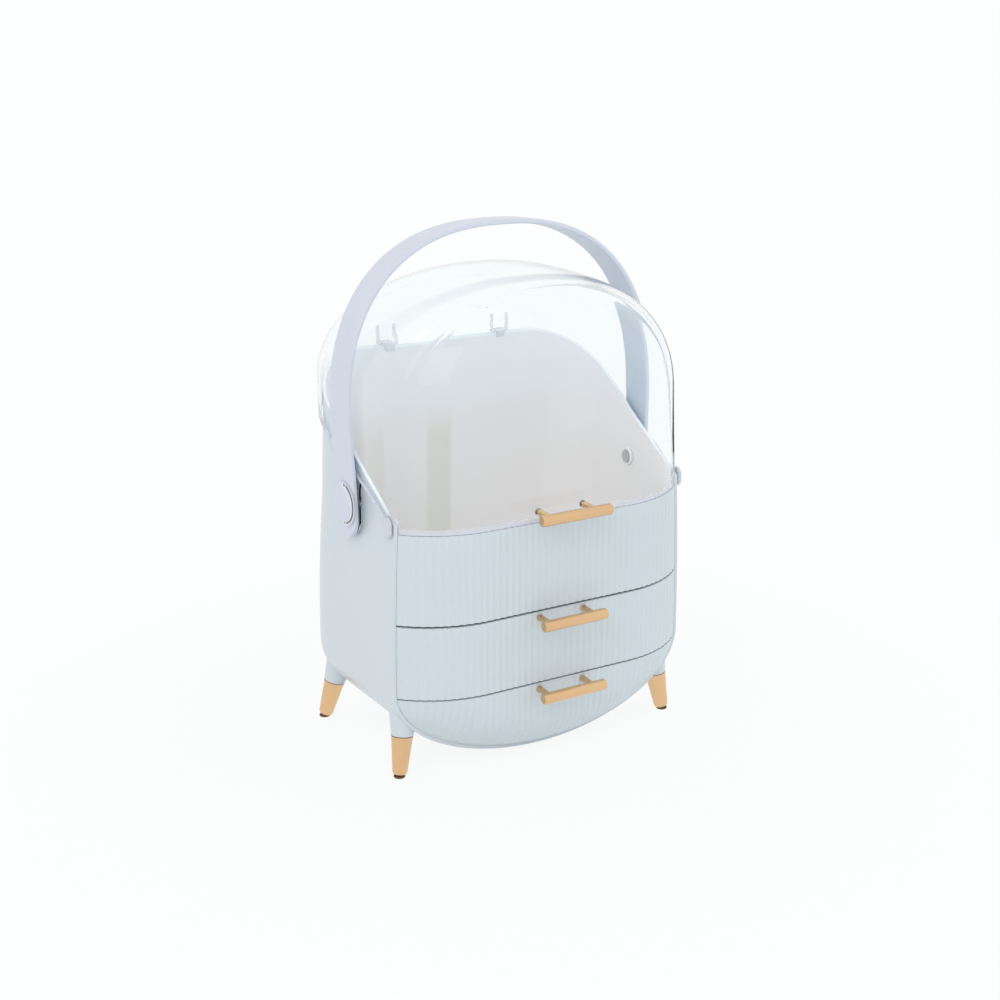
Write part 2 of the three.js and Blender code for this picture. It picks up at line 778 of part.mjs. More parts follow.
// The space under the lid, drawn in by an inset: arches that swell forward from the seam
// like the fronts below, then the dome behind it.
function lidCore(inset, foot) {
  const rear = lidRearDepth - inset;
  const rearRadius = rearCornerRadius + lidSideGap + lidThickness - inset;
  const front = steps(frontFlatHalfWidth, housingHalfWidth, cornerSteps).map((past) => {
    const share = past / housingHalfWidth;
    const top = archShoulderHeight + share * (archTopHeight - inset - archShoulderHeight);
    const half = (height) => share * (archHalfWidth(height) - inset);
    return lidRing(inset - bowAt(share), archShoulderHeight, top, foot, half);
  });
  const depths = [
    ...steps(0, Math.PI / 2, cornerSteps / 2).map((a) => lidFlareDepth * (1 - Math.cos(a))),
    ...steps(crownDepth, rear - rearRadius, 2),
    ...steps(0, Math.PI / 2, cornerSteps)
      .slice(1)
      .map((a) => rear - rearRadius * (1 - Math.sin(a))),
  ];
  const dome = depths
    .filter((depth) => depth > inset)
    .map((depth) => {
      const climb = (lidRearShoulderHeight - archShoulderHeight) * (depth / lidRearDepth);
      const shoulder = archShoulderHeight + climb;
      const top = Math.max(lidRidge(depth, inset), shoulder);
      return lidRing(depth, shoulder, top, foot, (height) => lidHalfWidth(depth, height, inset));
    });
  return loft([...front, ...dome]);
}

// A closed solid through convex rings of equal counts.
function loft(rings) {
  const count = rings[0].length;
  const index = [];
  for (let ring = 0; ring + 1 < rings.length; ring++)
    for (let at = 0; at < count; at++) {
      const next = (at + 1) % count;
      const [a, b] = [ring * count + at, ring * count + next];
      index.push(a, b + count, b, a, a + count, b + count);
    }
  const last = (rings.length - 1) * count;
  for (let at = 1; at + 1 < count; at++) {
    index.push(0, at, at + 1);
    index.push(last, last + at + 1, last + at);
  }
  const geometry = new THREE.BufferGeometry();
  geometry.setAttribute("position", new THREE.Float32BufferAttribute(rings.flat(2), 3));
  geometry.setIndex(index);
  return solid(geometry);
}

// What is below the lid's lower edge: the rim in front, then the slanted seat inside the
// housing's outline and a lower line outside it, where the lid laps over the walls.
function lidUnderside() {
  const half = farReach;
  const front = -2 * frontBow;
  const rear = lidRearDepth + 2 * cutOverrun;
  const below = 0;
  const lap = alongX(
    shapeOf([
      [front, below],
      [rear, below],
      [rear, lidRearShoulderHeight - skirtRearDrop],
      [lidFlareDepth, seatHeight(lidFlareDepth) - skirtOverlapFront],
      [0, seatHeight(0) - skirtOverlapFront],
      [0, rimHeight + restGap],
      [front, rimHeight + restGap],
    ]),
    -half,
    half,
  );
  const inside = alongX(
    shapeOf([
      [front, below],
      [rear, below],
      [rear, seatHeight(rear) + restGap],
      [0, seatHeight(0) + restGap],
      [0, rimHeight + restGap],
      [front, rimHeight + restGap],
    ]),
    -half,
    half,
  ).intersect(bodyBlock(-lidSideGap, -2 * frontBow));
  return join(lap, inside);
}

// The rounded lug by which the lid turns on its pivot, with the web up to the lid's edge.
function lidLug(side) {
  const profile = new THREE.Shape();
  const [front, rear] = [pivotDepth - lugHalfWidth, pivotDepth + lugHalfWidth];
  const low = pivotHeight - lugDrop;
  const radius = lugCornerRadius;
  profile.moveTo(lugWebRearDepth, seatHeight(lugWebRearDepth) + lidThickness);
  profile.lineTo(lugWebFrontDepth, seatHeight(lugWebFrontDepth) + lidThickness);
  profile.quadraticCurveTo(front, pivotHeight + lugDrop, front, low + radius);
  profile.absarc(front + radius, low + radius, radius, Math.PI, 1.5 * Math.PI);
  profile.absarc(rear - radius, low + radius, radius, 1.5 * Math.PI, 2 * Math.PI);
  profile.quadraticCurveTo(
    rear,
    pivotHeight + lugDrop,
    lugWebRearDepth,
    seatHeight(lugWebRearDepth) + lidThickness,
  );
  const inner = housingHalfWidth + lidSideGap;
  const [from, to] = side > 0 ? [inner, lidSideHalfWidth] : [-lidSideHalfWidth, -inner];
  return alongX(profile, from, to);
}

// The small tab at each front corner of the lid, hooked over the housing's corner.
function cornerTab(side) {
  const outer = housingHalfWidth + lidSideGap + cornerTabThickness;
  const inner = archFootHalfWidth - cornerTabReach;
  const low = rimHeight - cornerTabThickness;
  const profile = new THREE.Shape();
  const radius = cornerTabLength / 2;
  profile.moveTo(-radius + cornerTabLength, low + radius);
  profile.lineTo(-radius + cornerTabLength, low + cornerTabHeight - radius);
  profile.absarc(0, low + cornerTabHeight - radius, radius, 0, Math.PI);
  profile.lineTo(-radius, low + radius);
  profile.absarc(0, low + radius, radius, Math.PI, 2 * Math.PI);
  profile.closePath();
  const [from, to] = side > 0 ? [inner, outer] : [-outer, -inner];
  return alongX(profile, from, to).translate([0, radius + seamGap, 0]);
}

function lid() {
  const foot = bellyTopHeight;
  const hollow = lidCore(lidThickness, foot - cutOverrun);
  const tabs = sides().map((side) => cornerTab(side));
  const shell = cut(join(cut(lidCore(0, foot), hollow), ...tabs), lidUnderside());
  const lugs = sides().map((side) => cut(lidLug(side), pinBore(side)));
  let made = join(shell, ...lugs);
  for (const side of sides())
    made = made.subtract(frontHole([(side * pullPostSpacing) / 2, lidPullHeight]));
  return meshOf("lid", made, clear());
}

function lidGroup() {
  const group = new THREE.Group();
  const postReach = pullRadius + pullStandOff - restGap;
  const pull = barPull("lid_pull", lidPullLength, postReach);
  pull.position.set(0, pullCentreDepth, lidPullHeight);
  group.add(lid(), pull);
  sides().forEach((side, at) => {
    const made = screw("lid_pull_screw_" + (at + 1), lidThickness + screwBite);
    made.position.set((side * pullPostSpacing) / 2, lidThickness - frontBow + restGap, lidPullHeight);
    group.add(made);
  });
  return group;
}

// Strap
// Front view of the strap's outside, drawn inwards by an inset: an arch on straight legs.
function strapPath(inset) {
  const points = archPoints(strapRoundShare, strapSteps).map(([across, up]) => [
    across * (strapHalfWidth - inset),
    strapShoulderHeight + (strapTopHeight - strapShoulderHeight - inset) * up,
  ]);
  const foot = pivotHeight - strapEndDrop;
  const straight = pivotHeight + strapEndDrop;
  points.push([inset - strapFootHalfWidth, straight], [inset - strapFootHalfWidth, foot]);
  points.unshift([strapFootHalfWidth - inset, foot], [strapFootHalfWidth - inset, straight]);
  return points;
}

// The strap is drawn upright, then leaned back about its pivots.
function strap() {
  const rounding = strapEdgeRounding;
  const outline = [...strapPath(rounding), ...strapPath(strapThickness - rounding).reverse()];
  const half = strapWidth / 2;
  const [front, rear] = [pivotDepth - half, pivotDepth + half];
  const band = alongY(shapeOf(outline), front + rounding, rear - rounding, {
    bevelEnabled: true,
    bevelThickness: rounding,
    bevelSize: rounding,
    bevelSegments: 2,
  });
  const foot = pivotHeight - strapEndDrop;
  const side = new THREE.Shape();
  side.moveTo(rear, strapTopHeight);
  side.lineTo(front, strapTopHeight);
  side.lineTo(front, foot + half);
  side.absarc(pivotDepth, foot + half, half, Math.PI, 2 * Math.PI);
  side.closePath();
  const room = alongX(side, -farReach, farReach);
  const bores = sides().map((end) => pinBore(end));
  const made = cut(band.intersect(room), ...bores).translate([0, -pivotDepth, -pivotHeight]);
  const mesh = placedOnPivot(meshOf("strap", made, strapWhite()), 1);
  mesh.rotation.x = -THREE.MathUtils.degToRad(strapLean);
  return mesh;
}

// Pivots
// Each piece is drawn with its axis along X and turned round for the left side.
function placedOnPivot(mesh, side) {
  mesh.position.set(0, pivotDepth, pivotHeight);
  if (side < 0) mesh.rotation.z = Math.PI;
  return mesh;
}

function pivotPieces(side) {
  const word = side < 0 ? "_left" : "_right";
  const inside = housingHalfWidth - housingWall - restGap;
  const outside = strapFootHalfWidth + restGap;
  const pin = turnedAlongX([
    [0, inside - pinTipLength],
    [pinRadius, inside - pinTipLength],
    [pinRadius, outside],
    [pinFlangeRadius, outside],
    [pinFlangeRadius, outside + pinFlangeThickness],
    [0, outside + pinFlangeThickness],
  ]);
  const hollow = pinFlangeRadius + restGap;
  const roof = outside + pinFlangeThickness + restGap;
  const cap = turnedAlongX([
    [0, roof],
    [hollow, roof],
    [hollow, outside],
    [pivotCapRadius, outside],
    [pivotCapRadius, outside + pivotCapThickness - pivotCapDish],
    [pivotCapRadius - pivotCapDish, outside + pivotCapThickness],
    [pivotCapRadius / 2, outside + pivotCapThickness],
    [0, outside + pivotCapThickness],
  ]);
  const bore = pinRadius + pinClearance;
  const ring = turnedAlongX([
    [bore, inside - pivotRingThickness],
    [pivotRingRadius, inside - pivotRingThickness],
    [pivotRingRadius, inside],
    [bore, inside],
    [bore, inside - pivotRingThickness],
  ]);
  return [
    placedOnPivot(meshOf("pivot_pin" + word, solid(pin), steel()), side),
    placedOnPivot(meshOf("pivot_cap" + word, solid(cap), strapWhite()), side),
    placedOnPivot(meshOf("pivot_ring" + word, solid(ring), innerWhite()), side),
  ];
}

// Legs
const legPlaces = () =>
  sides().flatMap((side) => [
    {
      name: side < 0 ? "front_left" : "front_right",
      side,
      depth: legTipFrontDepth,
      sideLean: -side * legFrontSideAngle,
      endLean: -legFrontEndAngle,
    },
    {
      name: side < 0 ? "rear_left" : "rear_right",
      side,
      depth: legTipRearDepth,
      sideLean: -side * legRearSideAngle,
      endLean: legRearEndAngle,
    },
  ]);

// Leans an upright piece over its tip, so that it rises inwards and towards the middle.
function leaned(geometry, { sideLean, endLean }) {
  geometry.rotateY(THREE.MathUtils.degToRad(sideLean));
  return geometry.rotateX(THREE.MathUtils.degToRad(endLean));
}

function legStub(place) {
  const foot = legCapLength + legJointGap;
  const profile = [
    [0, foot - spigotLength],
    [spigotRadius, foot - spigotLength],
    [spigotRadius, foot],
    [legCapTopRadius, foot],
    [legStubRootRadius, foot + legStubLength],
    [legStubWaistRadius, foot + legStubLength + legStubWaistRise],
    [0, foot + legStubLength + legStubCrownLength],
  ];
  const stub = leaned(turned(profile), place);
  const behindSeam = box(-farReach, farReach, 0, farReach, 0, rimHeight);
  const moved = solid(stub.translate(place.side * legTipHalfSpacing, place.depth, 0));
  return moved.intersect(behindSeam);
}

function legCap(place) {
  const rounding = legCapFootRounding;
  const body = leaned(
    turned([
      [0, -rounding],
      [legCapFootRadius - rounding / 2, -rounding],
      [legCapFootRadius, rounding],
      [legCapTopRadius, legCapLength],
      [0, legCapLength],
    ]),
    place,
  );
  const boreFloor = legCapLength - spigotLength - restGap;
  const bore = leaned(
    turned(rod(spigotRadius + restGap, boreFloor, legCapLength + cutOverrun)),
    place,
  );
  const reach = 2 * legCapTopRadius;
  const ground = box(-reach, reach, -reach, reach, -reach, footPadHeight + restGap);
  const mesh = meshOf("leg_cap_" + place.name, cut(solid(body), solid(bore), ground), softGold());
  mesh.position.set(place.side * legTipHalfSpacing, place.depth, 0);
  return mesh;
}

function footPad(place) {
  const profile = [
    [0, 0],
    [footPadRadius - footPadRounding, 0],
    [footPadRadius, footPadRounding],
    [footPadRadius, footPadHeight],
    [0, footPadHeight],
  ];
  const mesh = meshOf("foot_pad_" + place.name, solid(turned(profile)), rubber());
  mesh.position.set(place.side * legTipHalfSpacing, place.depth, 0);
  return mesh;
}

// Clips on the rear edge: a U of two posts, with a fork below that straddles the wall
function rearClip(side) {
  const half = clipPostSpacing / 2;
  const outer = half + clipPostWidth / 2;
  const inner = half - clipPostWidth / 2;
  const seat = seatHeight(housingDepth) + restGap;
  const middle = housingDepth - housingWall / 2;
  const form = shapeOf([
    [-outer, seat],
    [outer, seat],
    [outer, seat + clipBaseHeight + clipPostHeight],
    [inner, seat + clipBaseHeight + clipPostHeight],
    [inner, seat + clipBaseHeight],
    [-inner, seat + clipBaseHeight],
    [-inner, seat + clipBaseHeight + clipPostHeight],
    [-outer, seat + clipBaseHeight + clipPostHeight],
  ]);
  const frame = alongY(form, middle - clipDepth / 2, middle + clipDepth / 2);
  const tongueFrom = housingDepth - housingWall - restGap - clipPostWidth / 2;
  const tongueTo = housingDepth + restGap + clipPostWidth / 2;
  const tongueLow = seat - clipTongueLength;
  const tongue = box(-half / 2, half / 2, tongueFrom, tongueTo, tongueLow, seat + clipBaseHeight);
  const slot = alongX(
    shapeOf([
      [housingDepth - housingWall - restGap, seat - 2 * clipTongueLength],
      [housingDepth + restGap, seat - 2 * clipTongueLength],
      [housingDepth + restGap, seat],
      [housingDepth - housingWall - restGap, seat],
    ]),
    -outer,
    outer,
  );
  const word = side < 0 ? "left" : "right";
  const mesh = meshOf("rear_clip_" + word, cut(join(frame, tongue), slot), clear());
  mesh.position.x = (side * clipSpacing) / 2;
  return mesh;
}

// Assembly
const cosmeticsBox = new THREE.Group();
cosmeticsBox.add(housing(), frontPanel(), compartmentFloor(), middleShelf());
panelScrewPlaces().forEach(([across, depth], at) => {
  const made = screw("panel_screw_" + (at + 1), shelfThickness + panelScrewBite);
  made.rotation.x = -Math.PI / 2;
  made.position.set(across, depth, floorTopHeight - shelfThickness - restGap);
  cosmeticsBox.add(made);
});
for (const drawer of drawers()) cosmeticsBox.add(drawerGroup(drawer));
cosmeticsBox.add(lidGroup(), strap());
for (const side of sides()) cosmeticsBox.add(...pivotPieces(side), rearClip(side));
for (const place of legPlaces()) cosmeticsBox.add(legCap(place), footPad(place));
cosmeticsBox.position.y = -middleDepth;

const part = new THREE.Group();
part.add(cosmeticsBox);

export default part;
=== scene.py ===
"""Looks of a table-top cosmetics box: white satin housing, fluted fronts, clear lid, gold trim."""
import json
import math

import bmesh
import bpy
import numpy as np
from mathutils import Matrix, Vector


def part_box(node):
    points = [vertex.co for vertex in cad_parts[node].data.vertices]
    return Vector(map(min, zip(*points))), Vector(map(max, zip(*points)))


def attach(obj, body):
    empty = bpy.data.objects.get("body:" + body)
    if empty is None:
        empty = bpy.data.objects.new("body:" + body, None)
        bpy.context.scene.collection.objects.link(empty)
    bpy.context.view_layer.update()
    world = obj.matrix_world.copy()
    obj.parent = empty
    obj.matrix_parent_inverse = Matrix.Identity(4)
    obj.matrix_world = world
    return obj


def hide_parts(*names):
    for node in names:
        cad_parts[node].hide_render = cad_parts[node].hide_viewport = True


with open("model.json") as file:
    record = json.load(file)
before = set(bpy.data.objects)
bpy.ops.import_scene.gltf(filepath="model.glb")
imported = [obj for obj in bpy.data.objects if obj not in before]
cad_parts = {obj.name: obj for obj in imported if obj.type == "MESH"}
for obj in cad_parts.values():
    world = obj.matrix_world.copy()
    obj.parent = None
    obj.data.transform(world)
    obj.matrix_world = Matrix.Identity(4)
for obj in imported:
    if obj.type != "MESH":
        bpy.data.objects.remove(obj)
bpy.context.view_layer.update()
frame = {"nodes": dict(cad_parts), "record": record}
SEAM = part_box("housing")[0].y

bl_info = {
    "name": "Cosmetics Box Looks",
    "version": (1, 0, 0),
    "blender": (4, 5, 0),
    "location": "3D View > Sidebar > Cosmetics Box",
    "description": "Builds the surfaces, materials and studio for a cosmetics box with drawers",
    "category": "Object",
}

# Sizes of the solids in millimetres, with depths measured back from the seam plane in
# which the smooth housing meets the fluted fronts.
SIDE_TOP, SIDE_BELLY = 129.0, 132.5
REAR_TOP, REAR_BELLY = 155.0, 160.0
CORNER_TOP, CORNER_BELLY = 52.0, 42.0
BELLY_TOP, BELLY_LOW, BELLY_POWER = 73.0, 2.5, 1.975
BELLY_REACH = 35.0
RIM, PLUMB = 198.3, 278.0
SEAT_FRONT, SEAT_SLOPE = 206.0, 100.0 / 155.0
BOW, BOW_LEVEL = 27.3, 65.0
BOW_RADIUS = ((SIDE_TOP - BOW_LEVEL) ** 2 + BOW**2) / (2 * BOW)
NEST, REST = 3.08, 0.3
WELD = 2e-6
RING_STRAIGHT, RING_TURN, RING_ACROSS = 26, 21, 18
RING = 2 * (RING_STRAIGHT + RING_TURN) + RING_ACROSS
FRONT_WALL = 2.8
LID_WALL, LID_SIDE, LID_REAR, LID_CORNER, LID_FLARE = 2.2, 132.8, 160.2, 55.8, 31.0
ARCH_FOOT, ARCH_SIDE, ARCH_LOW, ARCH_TOP, ARCH_POWER = 125.3, 118.7, 278.3, 370.2, 2.17
CROWN, CROWN_DEPTH, REAR_SHOULDER = 378.0, 60.0, 295.3
PIVOT_DEPTH, PIVOT_HEIGHT = 64.5, 207.51
STRAP_FOOT, STRAP_SIDE, STRAP_LOW, STRAP_TOP, STRAP_POWER = 137.4, 139.4, 269.0, 412.9, 2.4
STRAP_WIDTH, STRAP_WALL, STRAP_DROP, STRAP_LEAN = 30.5, 4.2, 26.0, 3.0
STRAP_STRAIGHT, STRAP_EASE = 12.0, 50.0

# Rails under the two shelves, and the runners under the lower drawer.
HOUSING_WALL = 3.0
SHELF_UNDERS = (66.35, 127.8)
RAIL_TALL, RAIL_REACH, RAIL_SINK, RAIL_START = 3.0, 4.0, 1.0, 3.4
RUNNER_PLACE, RUNNER_HALF, RUNNER_DEPTHS, RUNNER_LEVELS = 30.0, 1.5, (6.0, 118.0), (6.4, 12.2)
BAR_FACES = np.array(
    [[0, 2, 3, 1], [4, 5, 7, 6], [0, 1, 5, 4], [2, 6, 7, 3], [0, 4, 6, 2], [1, 3, 7, 5]]
)

# Edges of the fronts, their lips into the housing and the run that eases in at the sides.
PANEL_LOW, UPPER_LOW, UPPER_HIGH, LOWER_HIGH = 128.2, 68.95, 126.5, 67.65
LIPS, SIDE_EASE, LAST_COLUMN = np.array([2.6, 1.3]), 12.0, 0.2

# The lid's lower edge, its milky skirt, lugs and tabs.
LID_LAP, LID_FRONT_RUN, RIDGE_LIFT = 5.0, 9.2, 9.0
SKIRT_DROP, SKIRT_RUN = 12.0, 10.0
FROST_FRONT, FROST_REAR, FROST_START, FROST_RUN = 2.4, 16.0, 105.0, 40.0
LUG_RADIUS, LUG_DROP, LUG_FACES = 15.4, 8.6, (130.7, 132.7)
WEB_FRONT, WEB_REAR, WEB_OVER = 44.0, 107.0, 3.0
TAB_DEPTH, TAB_RADIUS, TAB_LEVELS, TAB_FACES = 5.9, 5.5, (206.0, 201.0), (130.6, 133.3)

# Pulls: body, node, half length, height and depth of the front that the posts stand on.
PULLS = (
    ("lid", "lid_pull", 31.2, 206.0, -27.6),
    ("upper_drawer", "upper_drawer_pull", 28.5, 122.2, -28.6),
    ("lower_drawer", "lower_drawer_pull", 28.5, 63.2, -28.6),
)
BAR_RADIUS, BAR_ROUNDING, BAR_DEPTH = 4.4, 1.3, -46.8
POST_RADIUS, POST_FLARE, POST_PLACE, POST_END = 2.2, 0.5, 20.0, -44.0

# Pivot caps: low domes whose groove is a crescent with a dot at each end; the groove's flank gets a
# painted highlight and its bottom painted shade.
DOME_RADIUS, DOME_BASE, DOME_BULGE, DOME_REACH = 17.2, 138.3, 2.8, 17.5
CAP_EDGE = [[0, 137.75], [17.7, 137.75], [18, 137.95], [17.8, 138.2]]
RING_EDGE = [[5.4, 123.2], [7.2, 123.2], [7.55, 123.5], [7.6, 125.6], [5.4, 125.6], [5.4, 123.2]]
# Groove depth, start of the groove cut, and the reach out along X from which the groove's painted
# highlight and shade are marked.
GROOVE_DEPTH, GROOVE_FROM, GROOVE_PAINT_FROM = 1.3, 138.25, 136.9

# Legs: end of the box, depth of the tip, lean outwards and tilt lengthways in degrees.
LEGS = (("front", 7.0, 8.5, -6.5), ("rear", 140.0, 13.5, 8.0))
LEG_PLACE, LEG_COLUMNS, LEG_FOOT = 125.0, 64, 1.2
ROOT_START, ROOT_RUN, ROOT_RADIUS, ROOT_TOP_RADIUS = 33.5, 44.0, 8.75, 15.0
PAD_RADIUS, PAD_TALL, PAD_ROUNDING = 4.6, 1.8, 0.9

CAMERA_PLACE, CAMERA_VIEW = (-0.6664, -1.0378 + SEAM, 0.5848), (0.4947, 0.8178, -0.2941)
SIDES = ((-1, "left"), (1, "right"))
COLOUR = {"subtype": "COLOR", "size": 3, "min": 0, "max": 1}


class BoxSizes(bpy.types.PropertyGroup):
    """Fine sizes of the box's surfaces."""

    rib_pitch: bpy.props.FloatProperty(
        name="Rib pitch",
        description="Distance from one flute's crest to the next, in millimetres",
        default=5.65,
        min=2,
        max=20,
    )
    rib_depth: bpy.props.FloatProperty(
        name="Rib depth",
        description="Height of a flute's crest over its valley, in millimetres",
        default=0.75,
        min=0,
        max=1,
    )
    edge: bpy.props.FloatProperty(
        name="Edge rounding",
        description="Rounding of moulded edges",
        default=0.0007,
        min=0,
        max=0.002,
        unit="LENGTH",
    )


class BoxColours(bpy.types.PropertyGroup):
    """Colours of the box's plastics and metals."""

    housing: bpy.props.FloatVectorProperty(
        name="Housing",
        description="Cool white of the smooth housing",
        default=(0.66, 0.71, 0.76),
        **COLOUR,
    )
    front: bpy.props.FloatVectorProperty(
        name="Fronts",
        description="Cool white of the fluted fronts",
        default=(0.64, 0.71, 0.75),
        **COLOUR,
    )
    inner: bpy.props.FloatVectorProperty(
        name="Inside",
        description="Warm white of trays, shelves and the floor of the compartment",
        default=(0.96, 0.915, 0.90),
        **COLOUR,
    )
    strap: bpy.props.FloatVectorProperty(
        name="Strap",
        description="Faint lavender white of the strap and the pivot caps",
        default=(0.66, 0.69, 0.78),
        **COLOUR,
    )
    gold: bpy.props.FloatVectorProperty(
        name="Gold",
        description="Peach gold of the pulls and leg caps",
        default=(0.79, 0.52, 0.285),
        **COLOUR,
    )
    clear: bpy.props.FloatVectorProperty(
        name="Clear plastic",
        description="Tint of the lid and the clips",
        default=(0.975, 0.995, 1.0),
        **COLOUR,
    )


class BoxStudio(bpy.types.PropertyGroup):
    """Camera and light."""

    lens: bpy.props.FloatProperty(
        name="Lens",
        description="Focal length of the camera on a 36 mm sensor",
        default=60.38,
        min=20,
        max=200,
        unit="CAMERA",
    )
    sky: bpy.props.FloatProperty(
        name="Sky",
        description="Strength of the even light from all round",
        default=0.85,
        min=0,
        max=3,
    )
    key: bpy.props.FloatProperty(
        name="Key lamp",
        description="Power of the large lamp at the front left",
        default=9.0,
        min=0,
        max=100,
        unit="POWER",
    )


def placed(x, depth, z):
    """Points in the row frame, in metres, from millimetres with depth behind the seam."""
    x, depth, z = np.broadcast_arrays(x, depth, z)
    return np.stack([x / 1000, depth / 1000 + SEAM, z / 1000], -1)


def placed_points(points):
    """The same for an array whose last axis holds x, depth and height."""
    return placed(*np.moveaxis(points, -1, 0))


def link_object(name, data):
    """A new object in the scene."""
    obj = bpy.data.objects.new(name, data)
    bpy.context.scene.collection.objects.link(obj)
    return obj


def grid_faces(rows, columns, around=False):
    """Quads of a grid stored row by row: (i, j), (i, j+1), (i+1, j+1), (i+1, j).

    With around, the last column joins the first.
    """
    i = np.arange(rows - 1)[:, None] * columns
    j = np.arange(columns if around else columns - 1)[None, :]
    k = (j + 1) % columns
    return np.stack([i + j, i + k, i + columns + k, i + columns + j], -1).reshape(-1, 4)


def add_mesh(name, points, faces, kinds=None, sharp=None):
    """A smooth mesh object from points and quads; doubles merged, normals turned outwards.

    kinds gives each face the number of its material; sharp is the angle in degrees from
    which an edge stays sharp.
    """
    mesh = bpy.data.meshes.new(name)
    mesh.from_pydata(np.asarray(points).reshape(-1, 3).tolist(), [], np.asarray(faces).tolist())
    if kinds is not None:
        mesh.polygons.foreach_set("material_index", np.asarray(kinds, np.int32))
    work = bmesh.new()
    work.from_mesh(mesh)
    bmesh.ops.remove_doubles(work, verts=work.verts, dist=WELD)
    bmesh.ops.dissolve_degenerate(work, edges=work.edges, dist=WELD)
    bmesh.ops.recalc_face_normals(work, faces=work.faces)
    work.to_mesh(mesh)
    work.free()
    mesh.shade_smooth()
    if sharp is not None:
        mesh.set_sharp_from_angle(angle=math.radians(sharp))
    return link_object(name, mesh)


def add_frost(obj, values):
    """Stores how milky the clear plastic is at each vertex, from 0 to 1."""
    frost = obj.data.attributes.new("frost", "FLOAT", "POINT")
    values = np.broadcast_to(values, len(obj.data.vertices)).astype(np.float32)
    frost.data.foreach_set("value", values)


def turn_out(obj, centre):
    """Turns an open sheet's faces so that they look away from a centre point."""
    mesh = obj.data
    count = len(mesh.polygons)
    normals, centres = np.empty(count * 3), np.empty(count * 3)
    mesh.polygons.foreach_get("normal", normals)
    mesh.polygons.foreach_get("center", centres)
    away = centres.reshape(-1, 3) - np.asarray(centre)
    if np.sum(normals.reshape(-1, 3) * away) < 0:
        mesh.flip_normals()


def wall(obj, thickness, centre):
    """Gives an open sheet a wall towards its inside."""
    turn_out(obj, centre)
    solid = obj.modifiers.new("wall", "SOLIDIFY")
    solid.thickness, solid.offset = thickness, -1.0


def round_edges(obj, width, angle=40, segments=3):
    """Rounds every edge sharper than an angle in degrees."""
    bevel = obj.modifiers.new("edges", "BEVEL")
    bevel.width, bevel.segments = width, segments
    bevel.limit_method, bevel.angle_limit = "ANGLE", math.radians(angle)
    bevel.harden_normals = True


def finish_piece(obj, body, slot, *nodes):
    """Puts a finish on a piece, lets it ride on a body and stand for its CAD nodes."""
    if obj.data.materials:
        obj.data.materials[0] = finishes()[slot]
    else:
        obj.data.materials.append(finishes()[slot])
    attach(obj, body)
    if nodes:
        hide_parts(*nodes)


def swell(z, top):
    """Square of how far a height is up from the belly to a top, held between 0 and 1."""
    return np.clip((z - BELLY_TOP) / (top - BELLY_TOP), 0, 1) ** 2


def plan_at(z, inset):
    """Half width, rear depth and corner radius of the body at heights, drawn inwards.

    Above the belly all three ease from the belly's values to the top's; in the belly they
    shrink with the height of a superellipse.
    """
    below = np.clip(BELLY_TOP - z, 0, None) / (BELLY_TOP - BELLY_LOW - inset)
    full = np.clip(1 - below**BELLY_POWER, 0, 1) ** (1 / BELLY_POWER)
    side = SIDE_BELLY + (SIDE_TOP - SIDE_BELLY) * swell(z, RIM) - inset
    rear = REAR_BELLY + (REAR_TOP - REAR_BELLY) * swell(z, PLUMB) - inset
    corner = CORNER_BELLY + (CORNER_TOP - CORNER_BELLY) * swell(z, PLUMB) - inset
    return side * full, rear - BELLY_REACH * (1 - full), corner * full


def plan_ring(z, inset):
    """Points of the body's plan from the front of its right side round the rear to the left.

    z holds one height for every point of the ring in its last axis.
    """
    half, rear, radius = plan_at(z, inset)
    straight = np.linspace(0, 1, RING_STRAIGHT)
    turn = np.linspace(0, math.pi / 2, RING_TURN + 1)[1:]
    across = np.linspace(1, -1, RING_ACROSS + 2)[1:-1]
    x, y = np.empty_like(half), np.empty_like(half)
    a, b, c, d = np.cumsum([RING_STRAIGHT, RING_TURN, RING_ACROSS, RING_TURN])
    x[..., :a], y[..., :a] = half[..., :a], straight * (rear - radius)[..., :a]
    x[..., a:b] = (half - radius)[..., a:b] + radius[..., a:b] * np.cos(turn)
    y[..., a:b] = (rear - radius)[..., a:b] + radius[..., a:b] * np.sin(turn)
    x[..., b:c], y[..., b:c] = across * (half - radius)[..., b:c], rear[..., b:c]
    back = turn[::-1]
    x[..., c:d] = -(half - radius)[..., c:d] - radius[..., c:d] * np.cos(back)
    y[..., c:d] = (rear - radius)[..., c:d] + radius[..., c:d] * np.sin(back)
    x[..., d:], y[..., d:] = -half[..., d:], straight[::-1] * (rear - radius)[..., d:]
    return x, y


def seat_at(depth):
    """Height of the slanted edge of the housing's wall at a depth."""
    return SEAT_FRONT + SEAT_SLOPE * depth


def belly_heights(count, inset=0.0):
    """Heights up the belly, evenly spread round its superellipse."""
    angle = np.linspace(math.pi / 2, 0, count)
    tall = BELLY_TOP - BELLY_LOW - inset
    return BELLY_TOP - tall * np.clip(np.sin(angle), 0, 1) ** (2 / BELLY_POWER)


